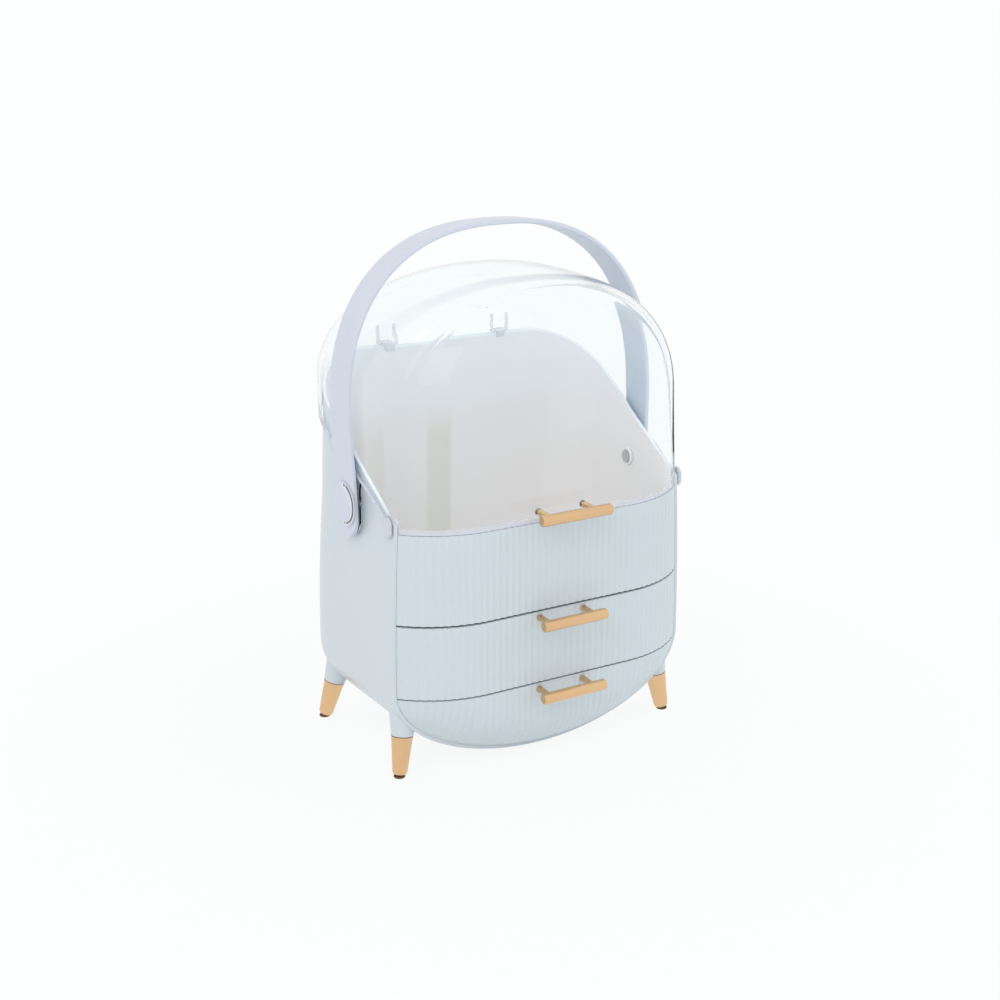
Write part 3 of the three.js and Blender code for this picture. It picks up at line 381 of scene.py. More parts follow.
class CosmeticsHousing(bpy.types.Operator):
    """The housing: belly, swelling sides, rounded rear and slanted seat, with a moulded wall."""

    bl_idname = "cosmetics_box.housing"
    bl_label = "Build the housing"

    def execute(self, context):
        outer, inner = self.side_wall(0.0), self.side_wall(HOUSING_WALL)
        rows, columns = outer.shape[:2]
        shell = grid_faces(rows, columns)
        size = rows * columns
        ring = np.concatenate([
            np.arange(rows) * columns,
            (rows - 1) * columns + np.arange(1, columns),
            np.arange(rows - 2, -1, -1) * columns + columns - 1,
        ])
        rim = np.stack([ring[:-1], ring[1:], ring[1:] + size, ring[:-1] + size], 1)
        points = np.concatenate([outer.reshape(-1, 3), inner.reshape(-1, 3)])
        kinds = np.repeat([0, 1, 2], [len(shell), len(shell), len(rim)])
        obj = add_mesh("housing_shell", points, np.concatenate([shell, shell + size, rim]), kinds)
        round_edges(obj, context.scene.box_sizes.edge)
        finish_piece(obj, "box", "housing_white", "housing")
        obj.data.materials.append(finishes()["inner_white"])
        # The rim's finish carries a painted highlight on its upper part.
        obj.data.materials.append(finishes()["rim_white_painted_highlight"])
        self.rails()
        return {"FINISHED"}

    def side_wall(self, inset):
        """Grid of the wall's face, drawn inwards by an inset, from the keel up to the seat."""
        belly = np.repeat(belly_heights(44, inset)[:, None], RING, 1)
        x, y = plan_ring(belly, inset)
        rise = np.linspace(0, 1, 34)[1:, None]
        top = np.full((len(rise), RING), SEAT_FRONT)
        for _ in range(3):
            z = BELLY_TOP + (top - BELLY_TOP) * rise
            high_x, high_y = plan_ring(z, inset)
            top = seat_at(high_y)
        z = BELLY_TOP + (top - BELLY_TOP) * rise
        high_x, high_y = plan_ring(z, inset)
        return placed(np.vstack([x, high_x]), np.vstack([y, high_y]), np.vstack([belly, z]))

    def rails(self):
        """Rails under the shelves and two runners, as bars on the inner wall."""
        bars = []
        for shelf in SHELF_UNDERS:
            under = shelf - REST
            low = under - RAIL_TALL
            half, rear, radius = (float(v) for v in plan_at(np.array(low), HOUSING_WALL))
            for side in (-1, 1):
                ends = sorted((side * (half - RAIL_REACH), side * (half + RAIL_SINK)))
                bars.append((*ends, RAIL_START, rear - radius, low, under))
        for side in (-1, 1):
            middle = side * RUNNER_PLACE
            ends = (middle - RUNNER_HALF, middle + RUNNER_HALF)
            bars.append((*ends, *RUNNER_DEPTHS, *RUNNER_LEVELS))
        low = np.array([[b[0], b[2], b[4]] for b in bars])
        high = np.array([[b[1], b[3], b[5]] for b in bars])
        pick = np.array([[i & 1, i >> 1 & 1, i >> 2 & 1] for i in range(8)], bool)
        corners = np.where(pick[None], high[:, None], low[:, None])
        faces = (BAR_FACES[None] + 8 * np.arange(len(bars))[:, None, None]).reshape(-1, 4)
        obj = add_mesh("shelf_rails", placed_points(corners), faces)
        round_edges(obj, 0.0005)
        finish_piece(obj, "box", "housing_white")


def bow_at(share):
    """How far the fronts stand forward: level in the middle, then an arc down to the seam."""
    past = np.clip(np.minimum(share, 1.1) * SIDE_TOP - BOW_LEVEL, 0, None)
    return BOW - BOW_RADIUS + np.sqrt(BOW_RADIUS**2 - past**2)


def front_share(x, z, inset):
    """Distance from the middle of the fronts over the distance to the outline."""
    side = np.abs(x) / plan_at(np.maximum(z, BELLY_TOP), inset)[0]
    below = np.clip(BELLY_TOP - z, 0, None) / (BELLY_TOP - BELLY_LOW - inset)
    return (side**BELLY_POWER + below**BELLY_POWER) ** (1 / BELLY_POWER)


def fluted_depth(x, z, sizes):
    """Depth of a fluted front: the swell plus rounded ribs that fade out at the outline."""
    share = front_share(x, z, NEST)
    calm = np.clip((1 - share) * SIDE_TOP / 4, 0, 1)
    wave = 0.5 + 0.5 * np.cos(2 * math.pi * x / sizes.rib_pitch)
    return -bow_at(share) - sizes.rib_depth * wave**0.8 * calm


class CosmeticsFronts(bpy.types.Operator):
    """The three fluted fronts: swollen surfaces with ribs, lips into the housing and a wall."""

    bl_idname = "cosmetics_box.fronts"
    bl_label = "Build the fronts"

    def execute(self, context):
        self.band(context, "front_panel_face", PANEL_LOW, RIM, "box", "front_panel")
        upper = ("upper_drawer", "upper_drawer_front")
        self.band(context, "upper_drawer_face", UPPER_LOW, UPPER_HIGH, *upper)
        lower = ("lower_drawer", "lower_drawer_front")
        self.bowl(context, "lower_drawer_face", LOWER_HIGH, *lower)
        return {"FINISHED"}

    def columns(self, context, half):
        """Places across a front, eight to a rib."""
        pitch = context.scene.box_sizes.rib_pitch / 8
        count = int(half / pitch)
        inner = np.arange(-count, count + 1) * pitch
        return np.concatenate([[-half], inner[np.abs(inner) < half - LAST_COLUMN], [half]])

    def band(self, context, name, low, high, body, node):
        """A front that reaches from side to side between two heights."""
        z = np.linspace(low, high, 14)[:, None]
        half = plan_at(np.maximum(z, BELLY_TOP), NEST)[0]
        widest = float(half.max())
        base = self.columns(context, widest)[None, :]
        ease = np.clip((np.abs(base) - (widest - SIDE_EASE)) / SIDE_EASE, 0, 1)
        x = base + np.sign(base) * (half - widest) * ease
        z = np.broadcast_to(z, x.shape)
        if low < BELLY_TOP:
            limit = plan_at(z, NEST)[0]
            x = np.clip(x, -limit, limit)
        y = fluted_depth(x, z, context.scene.box_sizes)
        y[:, 0] = y[:, -1] = 0.0
        lip = LIPS[None, :]
        x = np.concatenate([np.repeat(x[:, :1], 2, 1), x, np.repeat(x[:, -1:], 2, 1)], 1)
        y = np.concatenate([np.repeat(lip, len(y), 0), y, np.repeat(lip[:, ::-1], len(y), 0)], 1)
        z = np.concatenate([z[:, :2], z, z[:, :2]], 1)
        self.close(name, placed(x, y, z), body, node, (low + high) / 2)

    def bowl(self, context, name, high, body, node):
        """The lower front, which ends below in the belly's outline."""
        side, tall = SIDE_BELLY - NEST, BELLY_TOP - BELLY_LOW - NEST
        end = side * (1 - ((BELLY_TOP - high) / tall) ** BELLY_POWER) ** (1 / BELLY_POWER)
        x = self.columns(context, end)
        low = BELLY_TOP - tall * (1 - (np.abs(x) / side) ** BELLY_POWER) ** (1 / BELLY_POWER)
        rise = np.linspace(0, 1, 40)[:, None] ** 1.35
        z = low[None, :] + (high - low[None, :]) * rise
        x = np.broadcast_to(x[None, :], z.shape)
        y = fluted_depth(x, z, context.scene.box_sizes)
        y[0] = 0.0
        y = np.vstack([np.repeat(LIPS[:, None], y.shape[1], 1), y])
        x = np.vstack([x[:2], x])
        z = np.vstack([np.repeat(z[:1], 2, 0), z])
        self.close(name, placed(x, y, z), body, node, 40.0)

    def close(self, name, points, body, node, middle):
        """Gives a front its wall, rounded edges and finish."""
        obj = add_mesh(name, points, grid_faces(*points.shape[:2]))
        wall(obj, FRONT_WALL / 1000, (0, SEAM + 0.15, middle / 1000))
        round_edges(obj, 0.0002, angle=50, segments=2)
        finish_piece(obj, body, "front_white", node)


def arch_half(z):
    """Half width of the lid's front arch below its shoulder: a slight taper upwards."""
    return ARCH_FOOT + (ARCH_SIDE - ARCH_FOOT) * (z - RIM) / (ARCH_LOW - RIM)


def lid_half(depth, z):
    """Half width of the lid behind the seam: a quick flare, straight sides, a round corner."""
    share = np.clip(1 - depth / LID_FLARE, 0, 1)
    arch = arch_half(np.minimum(z, ARCH_TOP))
    half = arch + (LID_SIDE - arch) * np.sqrt(1 - share**2)
    past = np.clip(depth - (LID_REAR - LID_CORNER), 0, LID_CORNER)
    return half - LID_CORNER + np.sqrt(LID_CORNER**2 - past**2)


def lid_ridge(depth):
    """Height of the lid's ridge: up from the arch to the crown, then down in a superellipse."""
    front = np.clip(1 - depth / CROWN_DEPTH, 0, 1)
    rise = ARCH_TOP + (CROWN - ARCH_TOP) * np.sqrt(1 - front**2)
    back = np.clip((depth - CROWN_DEPTH) / (LID_REAR - CROWN_DEPTH), 0, 1)
    low = REAR_SHOULDER + RIDGE_LIFT
    fall = low + (CROWN - low) * (1 - back**3) ** (1 / 3)
    return np.where(depth < CROWN_DEPTH, rise, fall)


def lid_foot(depth):
    """Height of the lid's lower edge: on the panel's rim, on the seat, then lapping over it."""
    near = seat_at(depth) - LID_LAP
    lap_front = seat_at(LID_FLARE) - LID_LAP
    fall = REAR_SHOULDER - SKIRT_DROP - lap_front
    lap = lap_front + fall * (depth - LID_FLARE) / (LID_REAR + SKIRT_RUN - LID_FLARE)
    side = np.where(depth < LID_FLARE, near, lap)
    side = np.where(depth < LID_FRONT_RUN, seat_at(depth) + REST, side)
    return np.where(depth <= 0.05, RIM + REST, side)


class CosmeticsLid(bpy.types.Operator):
    """The clear lid: a front that swells like the drawers and a dome, drawn through arches."""

    bl_idname = "cosmetics_box.lid"
    bl_label = "Build the lid"

    def execute(self, context):
        share = np.concatenate([[0, 0.12, 0.25, 0.37], np.linspace(0.5, 1, 30)])
        flare = LID_FLARE * (1 - np.cos(np.linspace(0, math.pi / 2, 18)))
        side = np.linspace(LID_FLARE, LID_REAR - LID_CORNER, 26)[1:]
        corner = LID_REAR - LID_CORNER * (1 - np.sin(np.linspace(0, math.pi / 2, 26)[1:]))
        close = np.linspace(1, 0, 7)[1:]
        behind = np.concatenate([np.maximum(flare, 0.02), side, corner])
        depth = np.concatenate([np.zeros(len(share)), behind, np.full(len(close), LID_REAR)])
        scale = np.concatenate([share, np.ones(len(behind)), close])[:, None]
        front = np.arange(len(depth)) < len(share)
        bow = -bow_at(np.concatenate([share, np.ones(len(depth) - len(share))]))
        y = np.where(front, bow, depth)[:, None]
        front, depth = front[:, None], depth[:, None]
        shoulder = ARCH_LOW + (REAR_SHOULDER - ARCH_LOW) * depth / LID_REAR
        rise = ARCH_LOW + scale * (ARCH_TOP - ARCH_LOW)
        ridge = np.where(front, rise, np.maximum(lid_ridge(depth), shoulder))
        foot = np.where(front, RIM + REST, lid_foot(depth))
        up = np.linspace(0, 1, 18)[None, :-1]
        turn = np.linspace(0, math.pi, 73)[None, :]
        cos, sin = np.cos(turn), np.clip(np.sin(turn), 0, 1)
        across = np.sign(cos) * np.abs(cos) ** (2 / ARCH_POWER)
        arch_z = shoulder + (ridge - shoulder) * sin ** (2 / ARCH_POWER)
        leg_z = foot + (shoulder - foot) * up
        z = np.concatenate([leg_z, arch_z, leg_z[:, ::-1]], 1)
        reach = np.where(front, arch_half(z), lid_half(depth, z))
        ones = np.ones((1, up.shape[1]))
        x = scale * reach * np.concatenate([ones, across, -ones], 1)
        points = placed(x, y, z)
        lid = add_mesh("clear_lid", points, grid_faces(*points.shape[:2]))
        self.frost_skirt(lid)
        wall(lid, LID_WALL / 1000, (0, SEAM + 0.06, 0.25))
        round_edges(lid, 0.0005, angle=50)
        finish_piece(lid, "lid", "clear_plastic", "lid")
        for side, word in SIDES:
            self.lug(side, word)
            self.tab(side, word)
        return {"FINISHED"}

    def frost_skirt(self, lid):
        """Frost falls from 1 at the lower edge to 0 above it: 2.4 mm at the front, more behind."""
        place = np.empty(len(lid.data.vertices) * 3)
        lid.data.vertices.foreach_get("co", place)
        place = place.reshape(-1, 3) * 1000
        depth = place[:, 1] - SEAM * 1000
        foot = np.where(depth < 0.01, RIM + REST, lid_foot(np.maximum(depth, 0.06)))
        reach = FROST_FRONT + FROST_REAR * np.clip((depth - FROST_START) / FROST_RUN, 0, 1)
        add_frost(lid, np.clip(1.6 - 1.6 * (place[:, 2] - foot) / reach, 0, 1))

    def plate(self, name, depth, z, faces):
        """A plate between two planes across X, its outline given by depths and heights."""
        count = len(depth)
        points = placed(np.repeat(faces, count), np.tile(depth, 2), np.tile(z, 2))
        here, then = np.arange(count), (np.arange(count) + 1) % count
        sides = np.stack([here, then, then + count, here + count], 1).tolist()
        caps = [here[::-1].tolist(), (here + count).tolist()]
        mesh = bpy.data.meshes.new(name)
        mesh.from_pydata(points.tolist(), [], sides + caps)
        work = bmesh.new()
        work.from_mesh(mesh)
        bmesh.ops.recalc_face_normals(work, faces=work.faces)
        work.to_mesh(mesh)
        work.free()
        mesh.shade_smooth()
        obj = link_object(name, mesh)
        round_edges(obj, 0.0006)
        return obj

    def lug(self, side, word):
        """The rounded ear by which the lid turns, with a web up to its lower edge."""
        down = np.linspace(math.pi, 2 * math.pi, 28)
        round_y = PIVOT_DEPTH + LUG_RADIUS * np.cos(down)
        round_z = PIVOT_HEIGHT - LUG_DROP + LUG_RADIUS * np.sin(down)
        ease = np.linspace(0, 1, 14)[1:-1]
        front_top = lid_foot(np.array(WEB_FRONT)) + WEB_OVER
        rear_top = lid_foot(np.array(WEB_REAR)) + WEB_OVER
        rear_y = PIVOT_DEPTH + LUG_RADIUS + (WEB_REAR - PIVOT_DEPTH - LUG_RADIUS) * ease**2
        rear_z = round_z[-1] + (rear_top - round_z[-1]) * ease
        front_y = WEB_FRONT + (PIVOT_DEPTH - LUG_RADIUS - WEB_FRONT) * (1 - (1 - ease) ** 8)
        front_z = front_top + (round_z[0] - front_top) * ease
        depth = np.concatenate([round_y, rear_y, [WEB_REAR], [WEB_FRONT], front_y])
        z = np.concatenate([round_z, rear_z, [rear_top, front_top], front_z])
        obj = self.plate("lid_lug_" + word, depth, z, [side * face for face in LUG_FACES])
        finish_piece(obj, "lid", "clear_plastic")

    def tab(self, side, word):
        """The small tab hooked over the housing's front corner."""
        turn = np.linspace(0, math.pi, 12)
        across, up = TAB_RADIUS * np.cos(turn), TAB_RADIUS * np.sin(turn)
        depth = np.concatenate([TAB_DEPTH + across, TAB_DEPTH - across])
        z = np.concatenate([TAB_LEVELS[0] + up, TAB_LEVELS[1] - up])
        obj = self.plate("lid_tab_" + word, depth, z, [side * face for face in TAB_FACES])
        add_frost(obj, 0.8)
        finish_piece(obj, "lid", "clear_plastic")


class CosmeticsStrap(bpy.types.Operator):
    """The strap: a flat band with rounded edges carried round an arch, with rounded feet."""

    bl_idname = "cosmetics_box.strap"
    bl_label = "Build the strap"

    def execute(self, context):
        turn = np.linspace(0, math.pi, 121)
        cos, sin = np.cos(turn), np.clip(np.sin(turn), 0, 1)
        half = STRAP_SIDE - STRAP_WALL / 2
        x = half * np.sign(cos) * np.abs(cos) ** (2 / STRAP_POWER)
        z = STRAP_LOW + (STRAP_TOP - STRAP_WALL / 2 - STRAP_LOW) * sin ** (2 / STRAP_POWER)
        foot = STRAP_FOOT - STRAP_WALL / 2
        low = PIVOT_HEIGHT - STRAP_DROP
        reach = STRAP_WIDTH / 2
        round_z = low + reach * (1 - np.cos(np.linspace(0.001, math.pi / 2, 16)))
        leg_z = np.concatenate([round_z, np.linspace(low + reach, STRAP_LOW - 3, 14)[1:]])
        ease = np.clip((leg_z - PIVOT_HEIGHT - STRAP_STRAIGHT) / STRAP_EASE, 0, 1)
        leg_x = foot + (half - foot) * ease * ease * (3 - 2 * ease)
        x = np.concatenate([leg_x, x, -leg_x[::-1]])
        z = np.concatenate([leg_z, z, leg_z[::-1]])
        run = np.gradient(np.stack([x, z], 1), axis=0)
        run /= np.linalg.norm(run, axis=1, keepdims=True)
        out = np.stack([run[:, 1], -run[:, 0]], 1)
        past = np.clip(z - low, 0, reach) - reach
        width = np.sqrt(np.clip(reach**2 - past**2, 0, None))
        around = np.linspace(0, 2 * math.pi, 41)[:-1]
        u = np.sign(np.cos(around)) * np.abs(np.cos(around)) ** (2 / 9)
        v = np.sign(np.sin(around)) * np.abs(np.sin(around)) ** (2 / 5)
        shift = v[None, :] * STRAP_WALL / 2
        px = x[:, None] + out[:, :1] * shift
        pz = z[:, None] + out[:, 1:] * shift
        py = width[:, None] * u[None, :]
        lean = math.radians(STRAP_LEAN)
        up = pz - PIVOT_HEIGHT
        depth = PIVOT_DEPTH + py * math.cos(lean) + up * math.sin(lean)
        height = PIVOT_HEIGHT + up * math.cos(lean) - py * math.sin(lean)
        rings = placed(px, depth, height)
        ends = rings[[0, -1]].mean(1, keepdims=True).repeat(len(around), 1)
        rings = np.concatenate([ends[:1], rings, ends[1:]])
        band = add_mesh("carry_strap", rings, grid_faces(len(rings), len(around), around=True))
        finish_piece(band, "strap", "strap_white", "strap")
        return {"FINISHED"}


def turned(profile, count=48):
    """A body of revolution about Z from rows of radius and height: x = r cos, y = r sin."""
    profile = np.asarray(profile, float)
    angle = np.linspace(0, 2 * math.pi, count, endpoint=False)
    x = profile[:, :1] * np.cos(angle)
    y = profile[:, :1] * np.sin(angle)
    z = np.repeat(profile[:, 1:2], count, 1)
    return np.stack([x, y, z], -1), grid_faces(len(profile), count, around=True)


def rounded_rod(radius, low, high, rounding, steps=6):
    """Profile of a rod whose two ends are rounded by quarter circles."""
    turn = np.linspace(0, math.pi / 2, steps)
    out = radius - rounding + rounding * np.sin(turn)
    along = low + rounding - rounding * np.cos(turn)
    first = np.stack([out, along], 1)
    last = first[::-1].copy()
    last[:, 1] = low + high - last[:, 1]
    return np.concatenate([[[0, low]], first, last, [[0, high]]])


def along_x(points):
    """Turns points so that their Z runs along X."""
    return np.stack([points[..., 2], points[..., 1], -points[..., 0]], -1)


def along_y(points):
    """Turns points so that their Z runs along Y."""
    return np.stack([points[..., 0], points[..., 2], -points[..., 1]], -1)


class CosmeticsPulls(bpy.types.Operator):
    """The three bar pulls: a round bar with rounded ends on two posts."""

    bl_idname = "cosmetics_box.pulls"
    bl_label = "Build the pulls"

    def execute(self, context):
        for body, node, half, height, back in PULLS:
            bar, bar_faces = turned(rounded_rod(BAR_RADIUS, -half, half, BAR_ROUNDING))
            parts, faces = [along_x(bar) + [0, BAR_DEPTH, height]], [bar_faces]
            start = bar.shape[0] * bar.shape[1]
            for side in (-1, 1):
                radius = POST_RADIUS + POST_FLARE * (1 - np.linspace(0, 1, 7)) ** 4
                reach = np.linspace(back, POST_END, 7)
                sides = np.stack([radius, reach], 1)
                profile = np.concatenate([[[0, back]], sides, [[0, POST_END]]])
                post, post_faces = turned(profile, 32)
                parts.append(along_y(post) + [side * POST_PLACE, 0, height])
                faces.append(post_faces + start)
                start += post.shape[0] * post.shape[1]
            points = placed_points(np.concatenate([p.reshape(-1, 3) for p in parts]))
            obj = add_mesh(body + "_bar_pull", points, np.concatenate(faces), sharp=50)
            finish_piece(obj, body, "soft_gold", node)
        return {"FINISHED"}


class CosmeticsPivots(bpy.types.Operator):
    """Pivot caps outside the strap's feet and the small rings inside the walls."""

    bl_idname = "cosmetics_box.pivots"
    bl_label = "Build the pivots"

    def execute(self, context):
        slope = np.linspace(DOME_RADIUS, 0, 40)
        dome = np.stack([slope, DOME_BASE + DOME_BULGE * (1 - (slope / DOME_REACH) ** 2)], 1)
        for side, word in SIDES:
            cap, faces = turned(np.concatenate([CAP_EDGE, dome]), 96)
            groove = self.groove(cap[..., 0], cap[..., 1]) * (cap[..., 2] > GROOVE_FROM)
            cap[..., 2] -= GROOVE_DEPTH * groove
            disc = self.seated("pivot_disc_" + word, cap, faces, side)
            finish_piece(disc, "box", "strap_white", "pivot_cap_" + word)
            self.shade(disc)
            ring, faces = turned(RING_EDGE, 96)
            collar = self.seated("pivot_collar_" + word, ring, faces, side)
            finish_piece(collar, "box", "inner_white", "pivot_ring_" + word)
        return {"FINISHED"}

    def seated(self, name, points, faces, side):
        """A turned piece laid along X and put on the pivot of one side."""
        points = along_x(points) * [side, 1, 1] + [0, PIVOT_DEPTH, PIVOT_HEIGHT]
        return add_mesh(name, placed_points(points), faces, sharp=50)


    def shade(self, obj):
        """Marks the groove's depth at each vertex for a painted highlight on its flank and painted
        shade at its bottom, and gives the cap its own finish.
        """
        place = np.empty(len(obj.data.vertices) * 3)
        obj.data.vertices.foreach_get("co", place)
        x, y, z = place.reshape(-1, 3).T * 1000
        depth = self.groove(PIVOT_HEIGHT - z, y - SEAM * 1000 - PIVOT_DEPTH)
        # Only the cap's outer face gets the painted groove highlight and shade.
        depth = depth * (np.abs(x) > GROOVE_PAINT_FROM)
        mark = obj.data.attributes.new("groove", "FLOAT", "POINT")
        mark.data.foreach_set("value", depth.astype(np.float32))
        obj.data.materials[0] = finishes()["cap_painted_groove_shade"]

    def groove(self, x, y):
        """Depth of a cap's groove: a bump over the radius round the front half, and two dots."""
        bump = np.clip(1.2 - ((np.hypot(x, y) - 15.2) / 1.5) ** 2, 0, 1)
        front = np.clip(3 * np.cos(np.arctan2(y, x) + math.pi / 2), 0, 1)
        dots = np.clip(1.6 - np.hypot(np.abs(x) - 15.4, y + 0.8) / 1.6, 0, 1)
        return np.maximum(bump * front, dots)


class CosmeticsLegs(bpy.types.Operator):
    """Four leaning legs: a white root that runs into the belly and a gold cone on a pad."""

    bl_idname = "cosmetics_box.legs"
    bl_label = "Build the legs"

    def execute(self, context):
        for side, word in SIDES:
            for end, depth, lean, tilt in LEGS:
                frame_at = (side, depth, math.radians(-side * lean), math.radians(tilt))
                self.cap(end + "_" + word, frame_at)
                self.root(end + "_" + word, frame_at)
                self.pad(end + "_" + word, frame_at)
        return {"FINISHED"}

    def leaned(self, points, frame_at):
        """Leans points about the leg's tip, sideways about Y and then lengthways about X."""
        side, depth, about_y, about_x = frame_at
        x, y, z = np.moveaxis(points, -1, 0)
        cos, sin = math.cos(about_y), math.sin(about_y)
        x, z = x * cos + z * sin, z * cos - x * sin
        cos, sin = math.cos(about_x), math.sin(about_x)
        y, z = y * cos - z * sin, z * cos + y * sin
        return np.stack([x + side * LEG_PLACE, y + depth, z], -1)

    def cap(self, word, frame_at):
        """A gold cone whose foot is rounded."""
        turn = np.linspace(-math.pi / 2, 0, 8)
        foot = np.stack([6.0 - 4.2 + 4.2 * np.cos(turn), 5.4 + 4.2 * np.sin(turn)], 1)
        cone = np.stack([np.linspace(6.02, 8.5, 12)[1:], np.linspace(5.6, 32.2, 12)[1:]], 1)
        top = np.array([[8.75, 32.5], [8.75, 32.9], [8.4, 33.0], [0, 33.0]])
        points, faces = turned(np.concatenate([[[0, LEG_FOOT]], foot, cone, top]))
        points = self.leaned(points, frame_at)
        points[..., 2] = np.maximum(points[..., 2], LEG_FOOT)
        obj = add_mesh("leg_cone_" + word, placed_points(points), faces, sharp=50)
        finish_piece(obj, "box", "soft_gold", "leg_cap_" + word)

    def root(self, word, frame_at):
        """A white cone from the gold to the belly's wall, its top found by halving."""
        angle = np.linspace(0, 2 * math.pi, LEG_COLUMNS, endpoint=False)
        low, high = np.full(LEG_COLUMNS, 34.0), np.full(LEG_COLUMNS, 99.0)
        for _ in range(24):
            middle = (low + high) / 2
            inside = self.inside(self.leaned(self.cone(angle, middle), frame_at))
            low, high = np.where(inside, low, middle), np.where(inside, middle, high)
        rise = np.linspace(0, 1, 16)[:, None]
        along = ROOT_START + (low[None, :] + 0.4 - ROOT_START) * rise
        points = self.leaned(self.cone(angle[None, :], along), frame_at)
        points[..., 1] = np.maximum(points[..., 1], 0.05)
        ends = points[[0, -1]].mean(1, keepdims=True).repeat(LEG_COLUMNS, 1)
        points = np.concatenate([ends[:1], points, ends[1:]])
        faces = grid_faces(len(points), LEG_COLUMNS, around=True)
        obj = add_mesh("leg_root_" + word, placed_points(points), faces, sharp=50)
        finish_piece(obj, "box", "housing_white")

    def cone(self, angle, along):
        """Points of the root's cone: its radius grows evenly up the leg."""
        grown = (ROOT_TOP_RADIUS - ROOT_RADIUS) * (along - ROOT_START) / ROOT_RUN
        radius = ROOT_RADIUS + grown
        return np.stack([radius * np.cos(angle), radius * np.sin(angle), along], -1)

    def inside(self, points):
        """Whether points lie inside the body's outer face."""
        x, y, z = np.moveaxis(points, -1, 0)
        half, rear, radius = plan_at(z, 1.2)
        past_x = np.clip(np.abs(x) - (half - radius), 0, None)
        past_y = np.clip(y - (rear - radius), 0, None)
        corner = (past_x > 0) & (past_y > 0)
        round_in = past_x**2 + past_y**2 < radius**2
        return (z > BELLY_LOW) & (np.abs(x) < half) & (y < rear) & (~corner | round_in)

    def pad(self, word, frame_at):
        """A brown rubber pad, level on the ground."""
        points, faces = turned(rounded_rod(PAD_RADIUS, 0.0, PAD_TALL, PAD_ROUNDING), 40)
        points = points + [frame_at[0] * LEG_PLACE, frame_at[1], 0]
        obj = add_mesh("rubber_pad_" + word, placed_points(points), faces)
        finish_piece(obj, "box", "rubber", "foot_pad_" + word)


class CosmeticsInside(bpy.types.Operator):
    """Trays, shelves, clips, pins and screws: merged, smooth copies of their solids."""

    bl_idname = "cosmetics_box.inside"
    bl_label = "Build the inside"

    def execute(self, context):
        copied = ("upper_drawer_tray", "lower_drawer_tray", "compartment_floor", "middle_shelf")
        copied += ("rear_clip_left", "rear_clip_right", "pivot_pin_left", "pivot_pin_right")
        slots = {sub["node"]: sub["material_slot"] for sub in frame["record"]["subparts"]}
        bodies = frame["record"]["behaviour"]["bodies"]
        for node in slots:
            if node in copied or "screw" in node:
                body = next(name for name, nodes in bodies.items() if node in nodes)
                self.copy(node, body, slots[node])
        return {"FINISHED"}

    def copy(self, node, body, slot):
        """A copy of a solid with its doubles merged and only its real edges left sharp."""
        mesh = frame["nodes"][node].data.copy()
        mesh.name = node + "_smooth"
        work = bmesh.new()
        work.from_mesh(mesh)
        bmesh.ops.remove_doubles(work, verts=work.verts, dist=WELD)
        flat = math.radians(0.5)
        bmesh.ops.dissolve_limit(work, angle_limit=flat, verts=work.verts, edges=work.edges)
        work.to_mesh(mesh)
        work.free()
        mesh.shade_smooth()
        mesh.set_sharp_from_angle(angle=math.radians(28))
        obj = link_object(node + "_smooth", mesh)
        if "clip" in node:
            add_frost(obj, 0.3)
        if "clip" in node or "tray" in node:
            round_edges(obj, 0.0003, angle=50, segments=2)
        finish_piece(obj, body, slot, node)


def set_inputs(node, values):
    """Sets a node's inputs by name, with _ for a space."""
    for name, value in values.items():
        node.inputs[name.replace("_", " ")].default_value = value


def new_material(name, **values):
    """An empty node material with a Principled shader; returns material, nodes, links, shader."""
    material = bpy.data.materials.new(name)
    material.use_nodes = True
    nodes, links = material.node_tree.nodes, material.node_tree.links
    shader = nodes["Principled BSDF"]
    set_inputs(shader, values)
    return material, nodes, links, shader


def add_node(nodes, kind, **values):
    """A shader node with values on its inputs."""
    node = nodes.new("ShaderNode" + kind)
    set_inputs(node, values)
    return node


def maths(nodes, links, operation, *values):
    """Result of a maths node; each value is a number or a socket."""
    node = nodes.new("ShaderNodeMath")
    node.operation = operation
    for socket, value in zip(node.inputs, values):
        if isinstance(value, float):
            socket.default_value = value
        else:
            links.new(value, socket)
    return node.outputs[0]


def ranged(nodes, links, value, low, high, first=0.0, last=1.0, soft=True):
    """Runs from first to last while a value runs from low to high, softly or evenly."""
    span = add_node(nodes, "MapRange", From_Min=low, From_Max=high, To_Min=first, To_Max=last)
    if soft:
        span.interpolation_type = "SMOOTHSTEP"
    links.new(value, span.inputs["Value"])
    return span.outputs["Result"]


def ramped(nodes, links, value, *stops):
    """A colour ramp over a value, through stops of place and colour."""
    ramp = nodes.new("ShaderNodeValToRGB")
    elements = ramp.color_ramp.elements
    for element, (place, colour) in zip(elements, (stops[0], stops[-1])):
        element.position, element.color = place, (*colour, 1)
    for place, colour in stops[1:-1]:
        elements.new(place).color = (*colour, 1)
    links.new(value, ramp.inputs["Fac"])
    return ramp.outputs["Color"]


def add_noise(nodes, links, scale, detail):
    """Noise on Object coordinates."""
    place = nodes.new("ShaderNodeTexCoord")
    noise = add_node(nodes, "TexNoise", Scale=scale, Detail=detail)
    links.new(place.outputs["Object"], noise.inputs["Vector"])
    return noise.outputs["Fac"]


def add_bump(nodes, links, shader, height, strength, distance):
    """Bump of a shader's surface from a height."""
    bump = add_node(nodes, "Bump", Strength=strength, Distance=distance)
    links.new(height, bump.inputs["Height"])
    links.new(bump.outputs["Normal"], shader.inputs["Normal"])


def blend_shaders(nodes, links, share, first, second, output):
    """Sends a blend of two shaders to the output node."""
    mix = nodes.new("ShaderNodeMixShader")
    links.new(share, mix.inputs["Fac"])
    links.new(first, mix.inputs[1])
    links.new(second, mix.inputs[2])
    links.new(mix.outputs["Shader"], nodes[output].inputs["Surface"])


